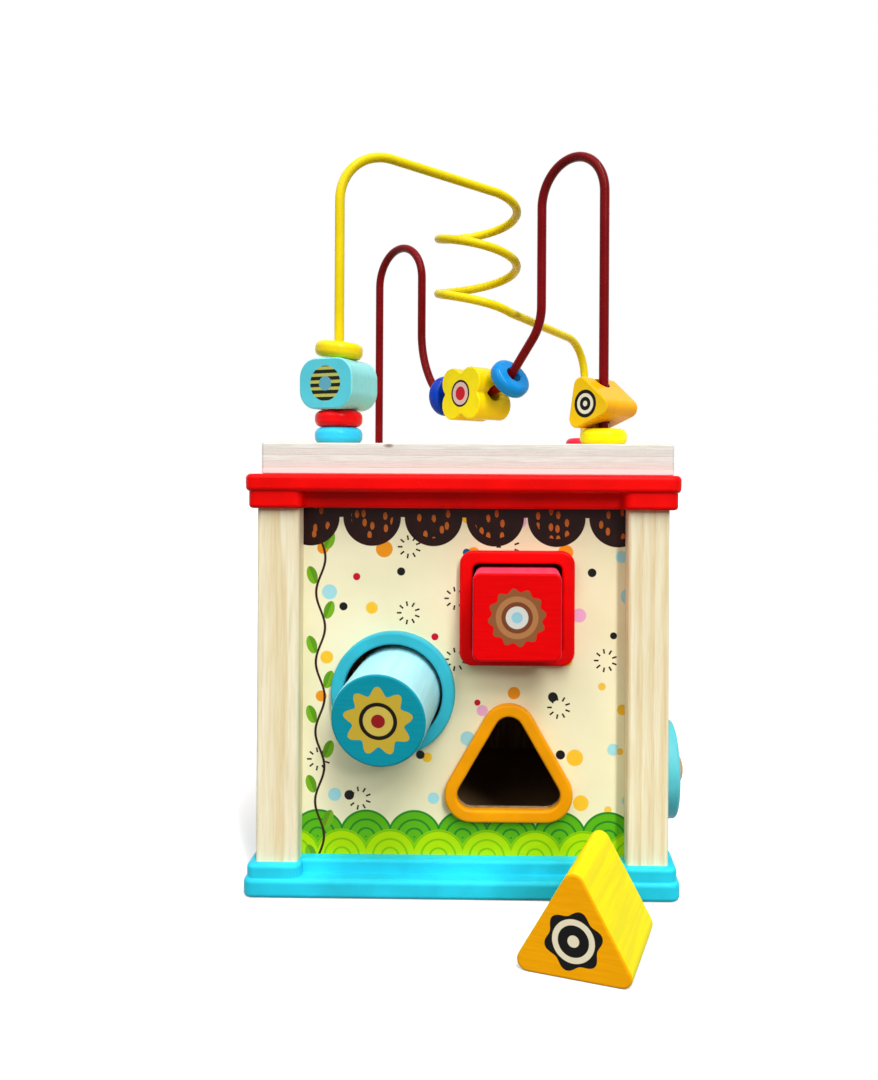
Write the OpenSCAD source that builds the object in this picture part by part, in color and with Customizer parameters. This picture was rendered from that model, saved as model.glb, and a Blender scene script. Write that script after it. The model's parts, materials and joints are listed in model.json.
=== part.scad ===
// Wooden activity cube: a shape-sorting box with a lift-off bead maze on top.
// Millimetres. +Z is up, the origin is the centre of the base's underside,
// and the sorting face looks along -Y.

/* [Base and top frame] */
// Width and depth of the base and of the top frame
cube_w = 207.4; // [198:0.2:225]
// Thickness of the base's bottom slab
plinth_t = 9.2; // [7:0.1:14]
// Height of the rim and corner bosses above the base's slab
base_rim_h = 6.2; // [5.5:0.1:9]
// Thickness of the top frame's upper band
band_t = 8.4; // [7:0.1:13]
// Height of the rim and corner bosses below the top frame's band
frame_rim_h = 8; // [6:0.1:11]
// How far the rims stand back from the slab's edge
rim_inset = 8.7; // [6:0.1:10]
// Width of each square corner boss
boss_w = 25.9; // [24:0.1:28]
// How far the corner bosses stand back from the slab's edge
boss_inset = 1.4; // [0.5:0.1:3]
// Corner radius of the rims and bosses
rim_corner_r = 4; // [3.9:0.1:5]
// Radius of the rims' and bosses' softened edges
rim_edge_r = 1.8; // [0.5:0.1:1.9]
// Width of the wood around the opening in the top frame
frame_border = 28.2; // [27.5:0.1:33]
// Upright corner radius of the slabs
slab_corner_r = 5; // [4:0.5:7]
// Radius of the slabs' softened top and bottom edges
slab_edge_r = 2.2; // [1:0.1:2.4]

/* [Posts and panels] */
// Width of each square corner post
post_w = 20; // [17:0.5:22]
// Free length of the posts between base and frame
post_len = 169; // [160:1:200]
// How far the posts' outer faces stand inside the slab's edge
post_inset = 5.2; // [4:0.1:6]
// Radius of the posts' long edges
post_edge_r = 1.6; // [0.5:0.1:3]
// Thickness of the side panels
panel_t = 4; // [3:0.5:5]
// How far the panels stand back from the posts' outer faces
panel_recess = 10; // [8:0.5:11]
// Depth of the grooves that hold the panels
groove_depth = 4; // [2:0.5:4.5]

/* [Sorting holes] */
// Thickness of the coloured rings around the holes
ring_t = 5; // [3:0.5:7]
// Width of the rings' bands
ring_band = 6.1; // [4:0.1:8]
// Diameter of the round hole
round_hole_d = 48; // [42:0.5:50]
// Sideways place of the round hole
round_hole_x = -34; // [-38:1:-30]
// Height of the round hole's centre above the floor
round_hole_z = 94.5; // [85:0.5:105]
// Width of the square hole
square_hole_w = 43.4; // [36:0.2:46]
// Corner radius of the square hole
square_hole_r = 3.5; // [2:0.5:6]
// Sideways place of the square hole
square_hole_x = 26; // [22:1:30]
// Height of the square hole's centre above the floor
square_hole_z = 136.3; // [132:0.5:142]
// Distance between the triangular hole's corner centres
tri_hole_side = 35.6; // [30:0.2:37]
// Corner radius of the triangular hole
tri_hole_r = 7.1; // [6:0.1:8]
// Sideways place of the triangular hole
tri_hole_x = 22.3; // [18:0.1:26]
// Height of the triangular hole's middle above the floor
tri_hole_z = 56.3; // [52:0.1:62]

/* [Sorting blocks] */
// Length of each sorting block
block_len = 48; // [40:1:56]
// Play of the round block in its hole, on the diameter
round_play = 4; // [3:0.2:6]
// Play of the square block in its hole, across the flats
square_play = 2.4; // [1.6:0.2:4]
// Play of the triangular block in its hole, all round
tri_play = 0.8; // [0.6:0.1:2]
// Corner radius of the triangular block
tri_block_r = 4.6; // [3:0.1:5.5]
// How far the round block sticks out of its ring
round_out = 29; // [15:1:32]
// How far the square block sticks out of its ring
square_out = 21; // [10:1:30]
// Downward tilt of the round block in its hole
round_tilt = 7; // [0:0.5:8]
// Leftward turn of the round block in its hole
round_turn = 5; // [0:0.5:6]
// Turn of the triangular block that lies in front of the cube
tri_block_turn = 18; // [0:1:40]
// Sideways place of the triangular block
tri_block_x = 49; // [30:1:60]
// Distance of the triangular block's front face from the cube
tri_block_out = 66; // [50:1:90]

/* [Bead maze lid] */
// Width and depth of the lid's plywood board
lid_w = 197; // [192:0.2:199]
// Thickness of the lid's plywood board
lid_t = 15; // [13:0.5:18]
// Thickness of the locating board under the lid
plug_t = 8; // [5:0.5:8]
// Play of the locating board in the frame, to each side
lid_play = 2.8; // [1:0.1:4]
// Sideways rest place of the lid within its play
lid_shift = 1.9; // [0:0.1:2.5]
// Distance of the wire feet from the lid's middle lines
foot_in = 67.6; // [62:0.2:72]
// Diameter of the maze wires
wire_d = 5; // [4:0.1:6]
// Depth of the wires' holes in the lid
wire_hole_depth = 12; // [8:0.5:12]

/* [Yellow wire] */
// Height of the yellow wire's first hump above the lid
hump_h = 151; // [140:1:165]
// Radius of the bend at the hump
hump_r = 26; // [20:0.5:30]
// Fall of the wire from the hump to the coil, in degrees
hump_slope = 6.6; // [3:0.1:10]
// Radius of the coil
coil_r = 22.8; // [20:0.1:28]
// Drop of the coil in each full turn
coil_pitch = 31.9; // [26:0.1:34]
// Radius of the bend down to the back foot
exit_r = 25; // [18:0.5:28]
// Fall of the wire from the coil to that bend, in degrees
exit_slope = 4.3; // [1:0.1:8]

/* [Red wire] */
// Height of the low loop's centre line above the lid
low_loop_h = 129.2; // [115:0.5:140]
// Height of the tall loop's centre line above the lid
tall_loop_h = 152; // [140:0.5:165]
// Radius of both loops
loop_r = 22; // [18:0.5:24]
// Height of the trough's straight bottom above the lid
trough_h = 33.1; // [28:0.1:38]
// Length of the trough's straight bottom
trough_run = 39; // [35:0.5:42]
// Radius of the long bend from the low loop towards the trough
left_bend_r = 55; // [48:1:58]
// Steepest slope at the trough's left end, in degrees
trough_left = 54; // [50:1:58]
// Steepest slope at the trough's right end, in degrees
trough_right = 48; // [45:1:51]
// Radius of the bend at the trough's left end
trough_left_r = 18; // [14:0.5:20]
// Radius of the bend at the trough's right end
trough_right_r = 20; // [16:0.5:22]
// Radius of the bend between the trough and the tall loop
right_bend_r = 26.5; // [24:0.5:28]

/* [Beads] */
// Diameter of the disc beads
disc_d = 24; // [20:0.5:27]
// Thickness of the disc beads
disc_t = 8.4; // [7.6:0.1:9.4]
// Radius of the disc beads' rounded edges
disc_edge_r = 3.4; // [1:0.1:3.4]
// Diameter of the hole through every bead
bead_bore = 9; // [8.4:0.1:9]
// Gap left between stacked beads
bead_gap = 0.2; // [0.1:0.05:0.4]
// Width of the teal bead's face
teal_w = 31; // [28:0.5:32]
// Height of the teal bead
teal_h = 25.6; // [23:0.2:28]
// Corner radius of the teal bead's face
teal_r = 9.5; // [6:0.5:11]
// Length of the shaped beads from face to face
shaped_bead_len = 25; // [22:0.5:27]
// Width of the flower bead across its lobes
flower_w = 33; // [30:0.5:34]
// Height of the flower bead across its lobes
flower_h = 30; // [28:0.5:34]
// Radius of the flower bead's lobes
flower_lobe_r = 8.8; // [7:0.1:9.5]
// Distance between the triangular bead's corner centres
tri_bead_side = 16.5; // [16.4:0.1:17.5]
// Corner radius of the triangular bead
tri_bead_r = 4.7; // [4.5:0.1:4.8]
// Lean of the triangular bead about its own length
tri_bead_roll = 20; // [0:1:25]
// Turn of the teal bead about its wire
teal_turn = 22; // [0:1:45]
// Turn of the triangular bead about its wire
tri_bead_turn = 44; // [0:1:70]
// How far the triangular bead hangs off its wire's middle
tri_bead_shift = 1.4; // [0:0.1:1.5]
// Lean of the yellow disc on top of the teal bead, in degrees
top_disc_lean = 6; // [0:0.5:8]
// Place of the flower bead along the trough's straight bottom
flower_along = 25.9; // [24:0.1:26]
// Place of the dark blue disc on the trough's left bend, in degrees from its bottom
dark_disc_angle = 3; // [2:0.5:20]
// Place of the light blue disc on the trough's right bend, in degrees from its bottom
light_disc_angle = 46; // [44:0.5:46]
// Lean of the light blue disc on the sloping wire, in degrees
light_disc_lean = 12; // [0:0.5:13]

/* [Turning wheels and gears] */
// Diameter of the two turning wheels on the right side
wheel_d = 52; // [40:1:54]
// Thickness of the wheels' discs
wheel_t = 12; // [8:0.5:14]
// Distance of each wheel's axle from the side's middle line
wheel_y = 28; // [28:0.5:34]
// Height of the wheels' axles above the floor
wheel_z = 39.1; // [37:0.5:60]
// How far the wheels' outer faces stand out from the panel
wheel_out = 23.9; // [22:0.1:30]
// Number of teeth on each gear on the left side
gear_teeth = 10; // [8:1:12]
// Pitch radius of the gears
gear_pitch_r = 23; // [21:0.5:23.5]
// Radius of the gear teeth's round ends
tooth_r = 3.1; // [2.6:0.1:3.3]
// Distance of those ends' centres outside the pitch circle
tooth_reach = 1.4; // [0.8:0.1:1.8]
// Gap between the teeth's tips and the next gear's body
gear_tip_gap = 0.6; // [0.4:0.1:1.5]
// Thickness of the gears
gear_t = 10; // [7:0.5:12]
// Extra distance between meshing gears
gear_backlash = 0.8; // [0.5:0.1:1.5]
// Distance of the outer gears' axles from the side's middle line
gear_y = 36; // [33:0.5:37]
// Height of the outer gears' axles above the floor
gear_z = 60; // [58:0.5:80]
// How far the gears' outer faces stand out from the panel
gear_out = 19; // [17:0.1:25]
// Diameter of the wheels' and gears' wooden axles
axle_d = 10; // [8:0.5:12]
// Diameter of the hubs behind the wheels and gears
hub_d = 24; // [20:0.5:28]
// Diameter of the axles' domed heads
axle_head_d = 19; // [16:0.5:22]
// Height of the axles' domed heads
axle_head_h = 5; // [4:0.5:7]
// Diameter of the washers on the axles' inner ends
washer_d = 20; // [16:1:24]
// Thickness of those washers
washer_t = 3; // [2:0.5:5]

/* [Fasteners] */
// Diameter of the screws that hold the posts
screw_d = 4; // [3:0.5:5]
// Length of the screws in the posts
screw_bite = 24; // [16:1:30]
// Diameter of the screws' heads
screw_head_d = 8; // [7:0.5:10]
// Height of the screws' heads
screw_head_h = 3; // [2.5:0.5:4]

/* [Hidden] */
// Clearance of fixed pieces that slide together
fit = 0.1;
// Radial clearance of turning fits and of screws in their holes
run_fit = 0.08;
// Clearance under pieces that lie on another by their own weight
rest_gap = 0.3;
eps = 0.01;
$fn = 64;

base_top = plinth_t + base_rim_h;
post_top = base_top + post_len;
band_bottom = post_top + frame_rim_h;
frame_top = band_bottom + band_t;
lid_top = frame_top + lid_t;
rim_w = cube_w - 2 * rim_inset;
boss_mid = cube_w / 2 - boss_inset - boss_w / 2;
frame_opening_w = cube_w - 2 * frame_border;
post_face = cube_w / 2 - post_inset;
post_mid = post_face - post_w / 2;
post_inner = post_face - post_w;
panel_face = post_face - panel_recess;
panel_back = panel_face - panel_t;
panel_w = 2 * (post_inner + groove_depth - fit);
panel_bottom = base_top - groove_depth;
panel_top = post_top + groove_depth - fit;
ring_face = panel_face + ring_t;
hole_ease = 0.8;

round_block_d = round_hole_d - round_play;
square_block_w = square_hole_w - square_play;
tri_block_side = (tri_hole_side / sqrt(3) + tri_hole_r - tri_play - tri_block_r) * sqrt(3);
round_drop = round_hole_d / 2 - round_block_d / 2 / cos(round_tilt) - rest_gap;

plug_w = frame_opening_w - 2 * lid_play;
lid_reach = lid_top - wire_hole_depth;

coil_top = lid_top + hump_h;
hump_foot = coil_top - hump_r;
foot_reach = foot_in * sqrt(2);
coil_lead = asin(coil_r / foot_reach);
in_heading = 45 - coil_lead;
out_heading = 45 + coil_lead;
tangent_len = sqrt(foot_reach * foot_reach - coil_r * coil_r);
hump_end_u = hump_r * (1 + sin(hump_slope));
hump_end_z = hump_foot + hump_r * cos(hump_slope);
coil_start_z = hump_end_z - (tangent_len - hump_end_u) * tan(hump_slope);
coil_turn = 720 + out_heading - in_heading;
coil_end_z = coil_start_z - coil_pitch * coil_turn / 360;
exit_run = tangent_len - exit_r * (1 - sin(exit_slope));
exit_end_z = coil_end_z - exit_run * tan(exit_slope);
exit_foot = exit_end_z - exit_r * cos(exit_slope);

wire_span = 2 * foot_reach;
low_top = lid_top + low_loop_h;
tall_top = lid_top + tall_loop_h;
trough_z = lid_top + trough_h;
left_turn = 2 * loop_r + left_bend_r * (1 - sin(trough_left)) + trough_left_r * sin(trough_left);
left_turn_z = trough_z + trough_left_r;
left_leg_end = left_turn_z + (left_bend_r - trough_left_r) * cos(trough_left);
right_turn = left_turn + trough_run;
right_turn_z = trough_z + trough_right_r;
right_end = right_turn + trough_right_r * sin(trough_right);
right_end_z = right_turn_z - trough_right_r * cos(trough_right);
right_straight = (wire_span - 2 * loop_r - right_end - right_bend_r * (1 - sin(trough_right)))
    / cos(trough_right);
right_bend_z = right_end_z + right_straight * sin(trough_right) + right_bend_r * cos(trough_right);

wire_sides = 12;
// Pitch of the wires' straight legs
upright = 90;
// Pitch between the route's points on the trough's left bend
bend_step = trough_left / 7;
// How far a bent stretch of wire reaches into its straight legs
leg_lap = 1;

stack_step = disc_t + bead_gap;
tri_bead_low = tri_bead_side / sqrt(3) * cos(60 - tri_bead_roll) + tri_bead_r;
bead_hang = (bead_bore - wire_d) / 2 - rest_gap;
bend_inner_r = trough_left_r - wire_d / 2;
bend_rise = bend_inner_r - sqrt(bend_inner_r * bend_inner_r - disc_t * disc_t / 4);
leaning_bore = bead_bore * cos(light_disc_lean) - disc_t * sin(light_disc_lean);
leaning_hang = (leaning_bore - wire_d) / 2 - rest_gap;

gear_distance = 2 * gear_pitch_r + gear_backlash;
gear_rise = sqrt(gear_distance * gear_distance - gear_y * gear_y);
gear_angle = atan2(gear_rise, gear_y);
gear_tip_r = gear_pitch_r + tooth_reach + tooth_r;
gear_root_r = gear_distance - gear_tip_r - gear_tip_gap;

// ---------- outlines ----------

// Rectangle with round corners, centred.
module rounded_rectangle(w, h, r) {
    square([w - 2 * r, h], center = true);
    square([w, h - 2 * r], center = true);
    for (x = [-1, 1], y = [-1, 1])
        translate([x * (w / 2 - r), y * (h / 2 - r)]) circle(r);
}

// Equilateral triangle, corner centres `side` apart, middle at the origin, point up.
module rounded_triangle(side, r) {
    reach = side / sqrt(3);
    polygon([for (a = [90, 210, 330]) reach * [cos(a), sin(a)]]);
    for (a = [90, 210, 330]) {
        translate(reach * [cos(a), sin(a)]) circle(r);
        rotate(a) translate([-reach / 2 - r / 2, 0]) square([r, side], center = true);
    }
}

// Four lobes at the corners of a rectangle, with a notch in the middle of each side.
module flower_outline(w, h, lobe_r) {
    x = w / 2 - lobe_r;
    y = h / 2 - lobe_r;
    notch = lobe_r / 3;
    square([2 * x, 2 * y], center = true);
    square([w - 2 * notch, 2 * y - lobe_r / 2], center = true);
    square([2 * x - lobe_r / 2, h - 2 * notch], center = true);
    for (i = [-1, 1], j = [-1, 1])
        translate([i * x, j * y]) circle(lobe_r);
}

// ---------- shared solids ----------

// Square slab with round corners and softened top and bottom edges.
module soft_slab(w, t, corner_r, edge_r) {
    translate([0, 0, t / 2]) {
        for (a = [0, 90])
            rotate([90, 0, a])
                linear_extrude(w - 2 * corner_r, center = true) rounded_rectangle(w, t, edge_r);
        for (x = [-1, 1], y = [-1, 1])
            translate([x, y, 0] * (w / 2 - corner_r)) rotate_extrude() {
                translate([0, -t / 2]) square([corner_r - edge_r, t]);
                translate([0, edge_r - t / 2]) square([corner_r, t - 2 * edge_r]);
                for (z = [-1, 1])
                    translate([corner_r - edge_r, z * (t / 2 - edge_r)]) circle(edge_r);
            }
    }
}

// A piece placed on each of the four posts' centre lines.
module at_posts() {
    for (x = [-1, 1], y = [-1, 1]) translate([x * post_mid, y * post_mid, 0]) children();
}

// Rim and four corner bosses that the posts and panels stand on, softened at the top
// and let into the slab below z = 0.
module rim_and_bosses(h) {
    root = 2 * rim_edge_r;
    translate([0, 0, -root]) {
        soft_slab(rim_w, h + root, rim_corner_r, rim_edge_r);
        for (x = [-1, 1], y = [-1, 1])
            translate([x * boss_mid, y * boss_mid, 0])
                soft_slab(boss_w, h + root, rim_corner_r, rim_edge_r);
    }
}

// The four panel grooves, cut to `h` from z = 0.
module panel_grooves(h) {
    for (a = [0, 90, 180, 270])
        rotate(a)
            translate([-panel_w / 2 - fit, -panel_face - fit, 0])
                cube([panel_w + 2 * fit, panel_t + 2 * fit, h]);
}

// Screw with a flat head at z = 0 and its shank going up.
module screw(length) {
    cylinder(h = screw_head_h, d = screw_head_d);
    cylinder(h = length, d = screw_d);
}

// Hole for that screw, with its head sunk by `sink`.
module screw_hole(depth, sink) {
    translate([0, 0, -eps]) cylinder(h = depth + eps, d = screw_d + 2 * run_fit);
    translate([0, 0, -eps]) cylinder(h = screw_head_h + sink + eps, d = screw_head_d + 1);
}

// ---------- cube ----------

module base_board() {
    color("deepskyblue") difference() {
        union() {
            soft_slab(cube_w, plinth_t, slab_corner_r, slab_edge_r);
            translate([0, 0, plinth_t]) rim_and_bosses(base_rim_h);
        }
        translate([0, 0, panel_bottom]) panel_grooves(groove_depth + eps);
        at_posts() screw_hole(base_top + eps, 1);
    }
}

module post(a) {
    color("wheat") rotate(a) difference() {
        translate([-post_mid, -post_mid, base_top])
            linear_extrude(post_len) rounded_rectangle(post_w, post_w, post_edge_r);
        translate([-post_inner - groove_depth, -panel_face - fit, base_top - eps])
            cube([groove_depth + 1, panel_t + 2 * fit, post_len + 2 * eps]);
        translate([-panel_face - fit, -post_inner - groove_depth, base_top - eps])
            cube([panel_t + 2 * fit, groove_depth + 1, post_len + 2 * eps]);
        translate([-post_mid, -post_mid, base_top - eps])
            cylinder(h = screw_bite + 2, d = screw_d + 2 * run_fit);
        translate([-post_mid, -post_mid, post_top - screw_bite - 2])
            cylinder(h = screw_bite + 2 + eps, d = screw_d + 2 * run_fit);
    }
}

module top_frame() {
    color("red") difference() {
        union() {
            translate([0, 0, band_bottom]) soft_slab(cube_w, band_t, slab_corner_r, slab_edge_r);
            translate([0, 0, band_bottom]) mirror([0, 0, 1]) rim_and_bosses(frame_rim_h);
        }
        translate([0, 0, post_top - eps])
            linear_extrude(frame_rim_h + band_t + 2 * eps)
                rounded_rectangle(frame_opening_w, frame_opening_w, 3);
        translate([0, 0, post_top - eps]) panel_grooves(groove_depth + eps);
        translate([0, 0, frame_top]) mirror([0, 0, 1])
            at_posts() screw_hole(frame_top - post_top + eps, 1);
    }
}

// One side panel, standing at the front.
module panel() {
    translate([-panel_w / 2, -panel_face, panel_bottom])
        cube([panel_w, panel_t, panel_top - panel_bottom]);
}

// Cuts a hole of the given outline through the front panel.
module front_hole(x, z) {
    translate([x, -panel_back + 1, z]) rotate([90, 0, 0]) linear_extrude(panel_t + 2) children();
}

module front_panel() {
    color("cornsilk") difference() {
        panel();
        front_hole(round_hole_x, round_hole_z) circle(d = round_hole_d + 2 * hole_ease);
        front_hole(square_hole_x, square_hole_z)
            rounded_rectangle(square_hole_w + 2 * hole_ease, square_hole_w + 2 * hole_ease, square_hole_r);
        front_hole(tri_hole_x, tri_hole_z) rounded_triangle(tri_hole_side, tri_hole_r + hole_ease);
    }
}

module back_panel() {
    color("cornsilk") rotate(180) panel();
}

// Places its children on one axle line of a side panel, with +Z pointing out of that side.
module on_side(side, y, z) {
    translate([side * panel_face, y, z]) rotate([0, side * 90, 0]) children();
}

module right_panel() {
    color("cornsilk") difference() {
        rotate(90) panel();
        for (y = [-wheel_y, wheel_y])
            on_side(1, y, wheel_z) translate([0, 0, -panel_t - 1])
                cylinder(h = panel_t + 2, d = axle_d + 2 * run_fit);
    }
}

module left_panel() {
    color("cornsilk") difference() {
        rotate(-90) panel();
        for (p = gear_places)
            on_side(-1, p[0], p[1]) translate([0, 0, -panel_t - 1])
                cylinder(h = panel_t + 2, d = axle_d + 2 * run_fit);
    }
}

module base_screws() {
    color("silver") at_posts() translate([0, 0, 1]) screw(base_top + screw_bite - 1);
}

module frame_screws() {
    color("silver") translate([0, 0, frame_top - 1]) mirror([0, 0, 1])
        at_posts() screw(frame_top - post_top + screw_bite - 1);
}

// ---------- rings around the holes ----------

module on_panel(x, z) {
    translate([x, -panel_face, z]) rotate([90, 0, 0]) children();
}

module round_ring() {
    lip = 1.6;
    inner = round_hole_d / 2;
    outer = inner + ring_band;
    color("darkturquoise") on_panel(round_hole_x, round_hole_z) rotate_extrude($fn = 96) {
        translate([inner, 0]) square([ring_band, ring_t - lip]);
        translate([inner + lip, 0]) square([ring_band - 2 * lip, ring_t]);
        for (x = [inner + lip, outer - lip]) translate([x, ring_t - lip]) circle(lip);
    }
}

module square_ring() {
    outer = square_hole_w + 2 * ring_band;
    color("red") on_panel(square_hole_x, square_hole_z)
        linear_extrude(ring_t) difference() {
            rounded_rectangle(outer, outer, square_hole_r + ring_band / 2);
            rounded_rectangle(square_hole_w, square_hole_w, square_hole_r);
        }
}

module triangle_ring() {
    color("orange") on_panel(tri_hole_x, tri_hole_z)
        linear_extrude(ring_t) difference() {
            rounded_triangle(tri_hole_side, tri_hole_r + ring_band);
            rounded_triangle(tri_hole_side, tri_hole_r);
        }
}

// ---------- sorting blocks ----------

module round_block() {
    soft = 1.4;
    r = round_block_d / 2;
    color("darkturquoise")
        translate([round_hole_x, -ring_face, round_hole_z - round_drop])
            rotate([90 + round_tilt, 0, -round_turn])
                translate([0, 0, round_out - block_len]) rotate_extrude($fn = 96) {
                    square([r - soft, block_len]);
                    translate([0, soft]) square([r, block_len - 2 * soft]);
                    for (z = [soft, block_len - soft]) translate([r - soft, z]) circle(soft);
                }
}

module square_block() {
    color("crimson")
        translate([square_hole_x, -ring_face - square_out, square_hole_z - square_play / 2 + rest_gap])
            rotate([-90, 0, 0])
                linear_extrude(block_len) rounded_rectangle(square_block_w, square_block_w, square_hole_r);
}

module triangle_block() {
    color("gold")
        translate([tri_block_x, -cube_w / 2 - tri_block_out, tri_block_side * sqrt(3) / 6 + tri_block_r])
            rotate(-tri_block_turn) rotate([90, 0, 0])
                translate([0, 0, -block_len])
                    linear_extrude(block_len) rounded_triangle(tri_block_side, tri_block_r);
}

// ---------- lid ----------

// The four wire feet, from the lid's middle: yellow front left and back right,
// red back left and front right.
module at_feet() {
    for (x = [-1, 1], y = [-1, 1]) translate([x * foot_in, y * foot_in, 0]) children();
}

module lid_board() {
    color("antiquewhite") translate([lid_shift, 0, 0]) difference() {
        translate([0, 0, frame_top]) linear_extrude(lid_t) rounded_rectangle(lid_w, lid_w, 1.5);
        at_feet() translate([0, 0, lid_reach]) cylinder(h = wire_hole_depth + eps, d = wire_d + 2 * run_fit);
    }
}

module lid_plug() {
    color("burlywood") translate([lid_shift, 0, frame_top - plug_t])
        linear_extrude(plug_t) rounded_rectangle(plug_w, plug_w, 4);
}

// ---------- wires ----------

// Arc of an upright plane as [run, height, pitch] points. It bends up where turn is 1 and
// down where turn is -1, while the wire's pitch goes from p0 to p1.
function arc(mid, r, p0, p1, turn, steps) = [
    for (i = [0 : steps])
        let (p = p0 + (p1 - p0) * i / steps)
            [mid[0] + turn * r * sin(p), mid[1] - turn * r * cos(p), p]
];

// Stands a plane's points at `from`, facing `heading`, as [x, y, z, heading, pitch].
function stand(points, from, heading) = [
    for (q = points) [from[0] + q[0] * cos(heading), from[1] + q[0] * sin(heading), q[1], heading, q[2]]
];

// Point on the coil's circle for a wire that passes it with this heading.
function coil_side(heading) = coil_r * [sin(heading), -cos(heading)];

coil_slope = atan(coil_pitch / (2 * PI * coil_r));
coil_steps = 76;
yellow_rise = concat(
    [[0, hump_foot - leg_lap, upright]],
    arc([hump_r, hump_foot], hump_r, upright, -hump_slope, -1, 14)
);
yellow_coil = [
    for (i = [0 : coil_steps])
        let (a = coil_turn * i / coil_steps, at = coil_side(in_heading + a))
            [at[0], at[1], coil_start_z - coil_pitch * a / 360, in_heading + a, -coil_slope]
];
yellow_fall = concat(
    arc([exit_run - exit_r * sin(exit_slope), exit_foot], exit_r, -exit_slope, -upright, -1, 12),
    [[tangent_len, exit_foot - leg_lap, -upright]]
);
yellow_route = concat(
    stand(yellow_rise, [-foot_in, -foot_in], in_heading),
    yellow_coil,
    stand(yellow_fall, coil_side(out_heading), out_heading)
);

red_line = concat(
    [[0, low_top - loop_r - leg_lap, upright]],
    arc([loop_r, low_top - loop_r], loop_r, upright, -upright, -1, 20),
    arc([2 * loop_r + left_bend_r, left_leg_end], left_bend_r, -upright, -trough_left, 1, 6),
    arc([left_turn, left_turn_z], trough_left_r, bend_step - trough_left, 0, 1, 6),
    arc([right_turn, right_turn_z], trough_right_r, 0, trough_right, 1, 6),
    arc([wire_span - 2 * loop_r - right_bend_r, right_bend_z], right_bend_r, trough_right, upright, 1, 6),
    arc([wire_span - loop_r, tall_top - loop_r], loop_r, upright, -upright, -1, 20),
    [[wire_span, tall_top - loop_r - leg_lap, -upright]]
);

// Ring of points around one route point, square to the route.
function wire_ring(q, sides) = [
    for (i = [0 : sides - 1])
        let (a = 360 * i / sides, side = [sin(q[3]), -cos(q[3]), 0],
             over = [-sin(q[4]) * cos(q[3]), -sin(q[4]) * sin(q[3]), cos(q[4])])
            [q[0], q[1], q[2]] + (wire_d / 2 - eps) * (cos(a) * side + sin(a) * over)
];

// Round wire along a route, closed at both ends.
module swept_wire(route, sides) {
    n = len(route);
    points = [for (q = route) each wire_ring(q, sides)];
    walls = [
        for (k = [0 : n - 2], i = [0 : sides - 1])
            let (j = (i + 1) % sides)
                [k * sides + i, k * sides + j, (k + 1) * sides + j, (k + 1) * sides + i]
    ];
    start = [for (i = [sides - 1 : -1 : 0]) i];
    end = [for (i = [0 : sides - 1]) (n - 1) * sides + i];
    polyhedron(points, concat([start], walls, [end]), convexity = 8);
}

// Straight leg from the bottom of a wire's hole in the lid up to `top`.
module wire_leg(x, y, top) {
    translate([x * foot_in, y * foot_in, lid_reach]) cylinder(h = top - lid_reach, d = wire_d);
}

module yellow_wire() {
    color("gold") translate([lid_shift, 0, 0]) {
        wire_leg(-1, -1, hump_foot);
        swept_wire(yellow_route, wire_sides);
        wire_leg(1, 1, exit_foot);
    }
}

// Stands its children's X along the line from the back left foot to the front right foot.
module on_diagonal() {
    translate([lid_shift - foot_in, foot_in, 0]) rotate(-45) children();
}

module red_wire() {
    color("darkred") translate([lid_shift, 0, 0]) {
        wire_leg(-1, 1, low_top - loop_r);
        swept_wire(stand(red_line, [-foot_in, foot_in], -45), wire_sides);
        wire_leg(1, -1, tall_top - loop_r);
    }
}

// ---------- beads ----------

// Disc bead about Z, its middle at the origin.
module disc_bead() {
    r = disc_d / 2;
    bore_r = bead_bore / 2;
    rotate_extrude() {
        translate([bore_r, -disc_t / 2]) square([r - disc_edge_r - bore_r, disc_t]);
        translate([bore_r, disc_edge_r - disc_t / 2]) square([r - bore_r, disc_t - 2 * disc_edge_r]);
        for (z = [-1, 1]) translate([r - disc_edge_r, z * (disc_t / 2 - disc_edge_r)]) circle(disc_edge_r);
    }
}

// Bead of a 2D outline, its face square to Y, with the wire's bore along Z.
module shaped_bead(reach) {
    difference() {
        rotate([90, 0, 0]) linear_extrude(shaped_bead_len, center = true) children();
        translate([0, 0, -reach]) cylinder(h = 2 * reach, d = bead_bore);
    }
}

module at_foot(x, y, z) {
    translate([lid_shift + x * foot_in, y * foot_in, lid_top + z]) children();
}

module left_blue_disc() {
    color("deepskyblue") at_foot(-1, -1, bead_gap + disc_t / 2) disc_bead();
}

module left_red_disc() {
    color("red") at_foot(-1, -1, stack_step + bead_gap + disc_t / 2) disc_bead();
}

module teal_bead() {
    color("turquoise") at_foot(-1, -1, 2 * stack_step + bead_gap + teal_h / 2)
        rotate(-teal_turn) shaped_bead(teal_h) rounded_rectangle(teal_w, teal_h, teal_r);
}

module left_yellow_disc() {
    rise = (teal_w / 2 - teal_r) * sin(top_disc_lean);
    color("yellow") at_foot(-1, -1, 2 * stack_step + 2 * bead_gap + teal_h + disc_t / 2 + rise)
        rotate([0, top_disc_lean, -teal_turn]) disc_bead();
}

module right_yellow_disc() {
    color("yellow") at_foot(1, -1, bead_gap + disc_t / 2) disc_bead();
}

module triangle_bead() {
    color("orange") at_foot(1, -1, stack_step + bead_gap + tri_bead_low)
        translate([-tri_bead_shift, 0, 0]) rotate(-tri_bead_turn) shaped_bead(2 * tri_bead_side)
            rotate(tri_bead_roll) rounded_triangle(tri_bead_side, tri_bead_r);
}

module back_red_disc() {
    color("crimson") at_foot(1, 1, bead_gap + disc_t / 2) disc_bead();
}

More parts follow.
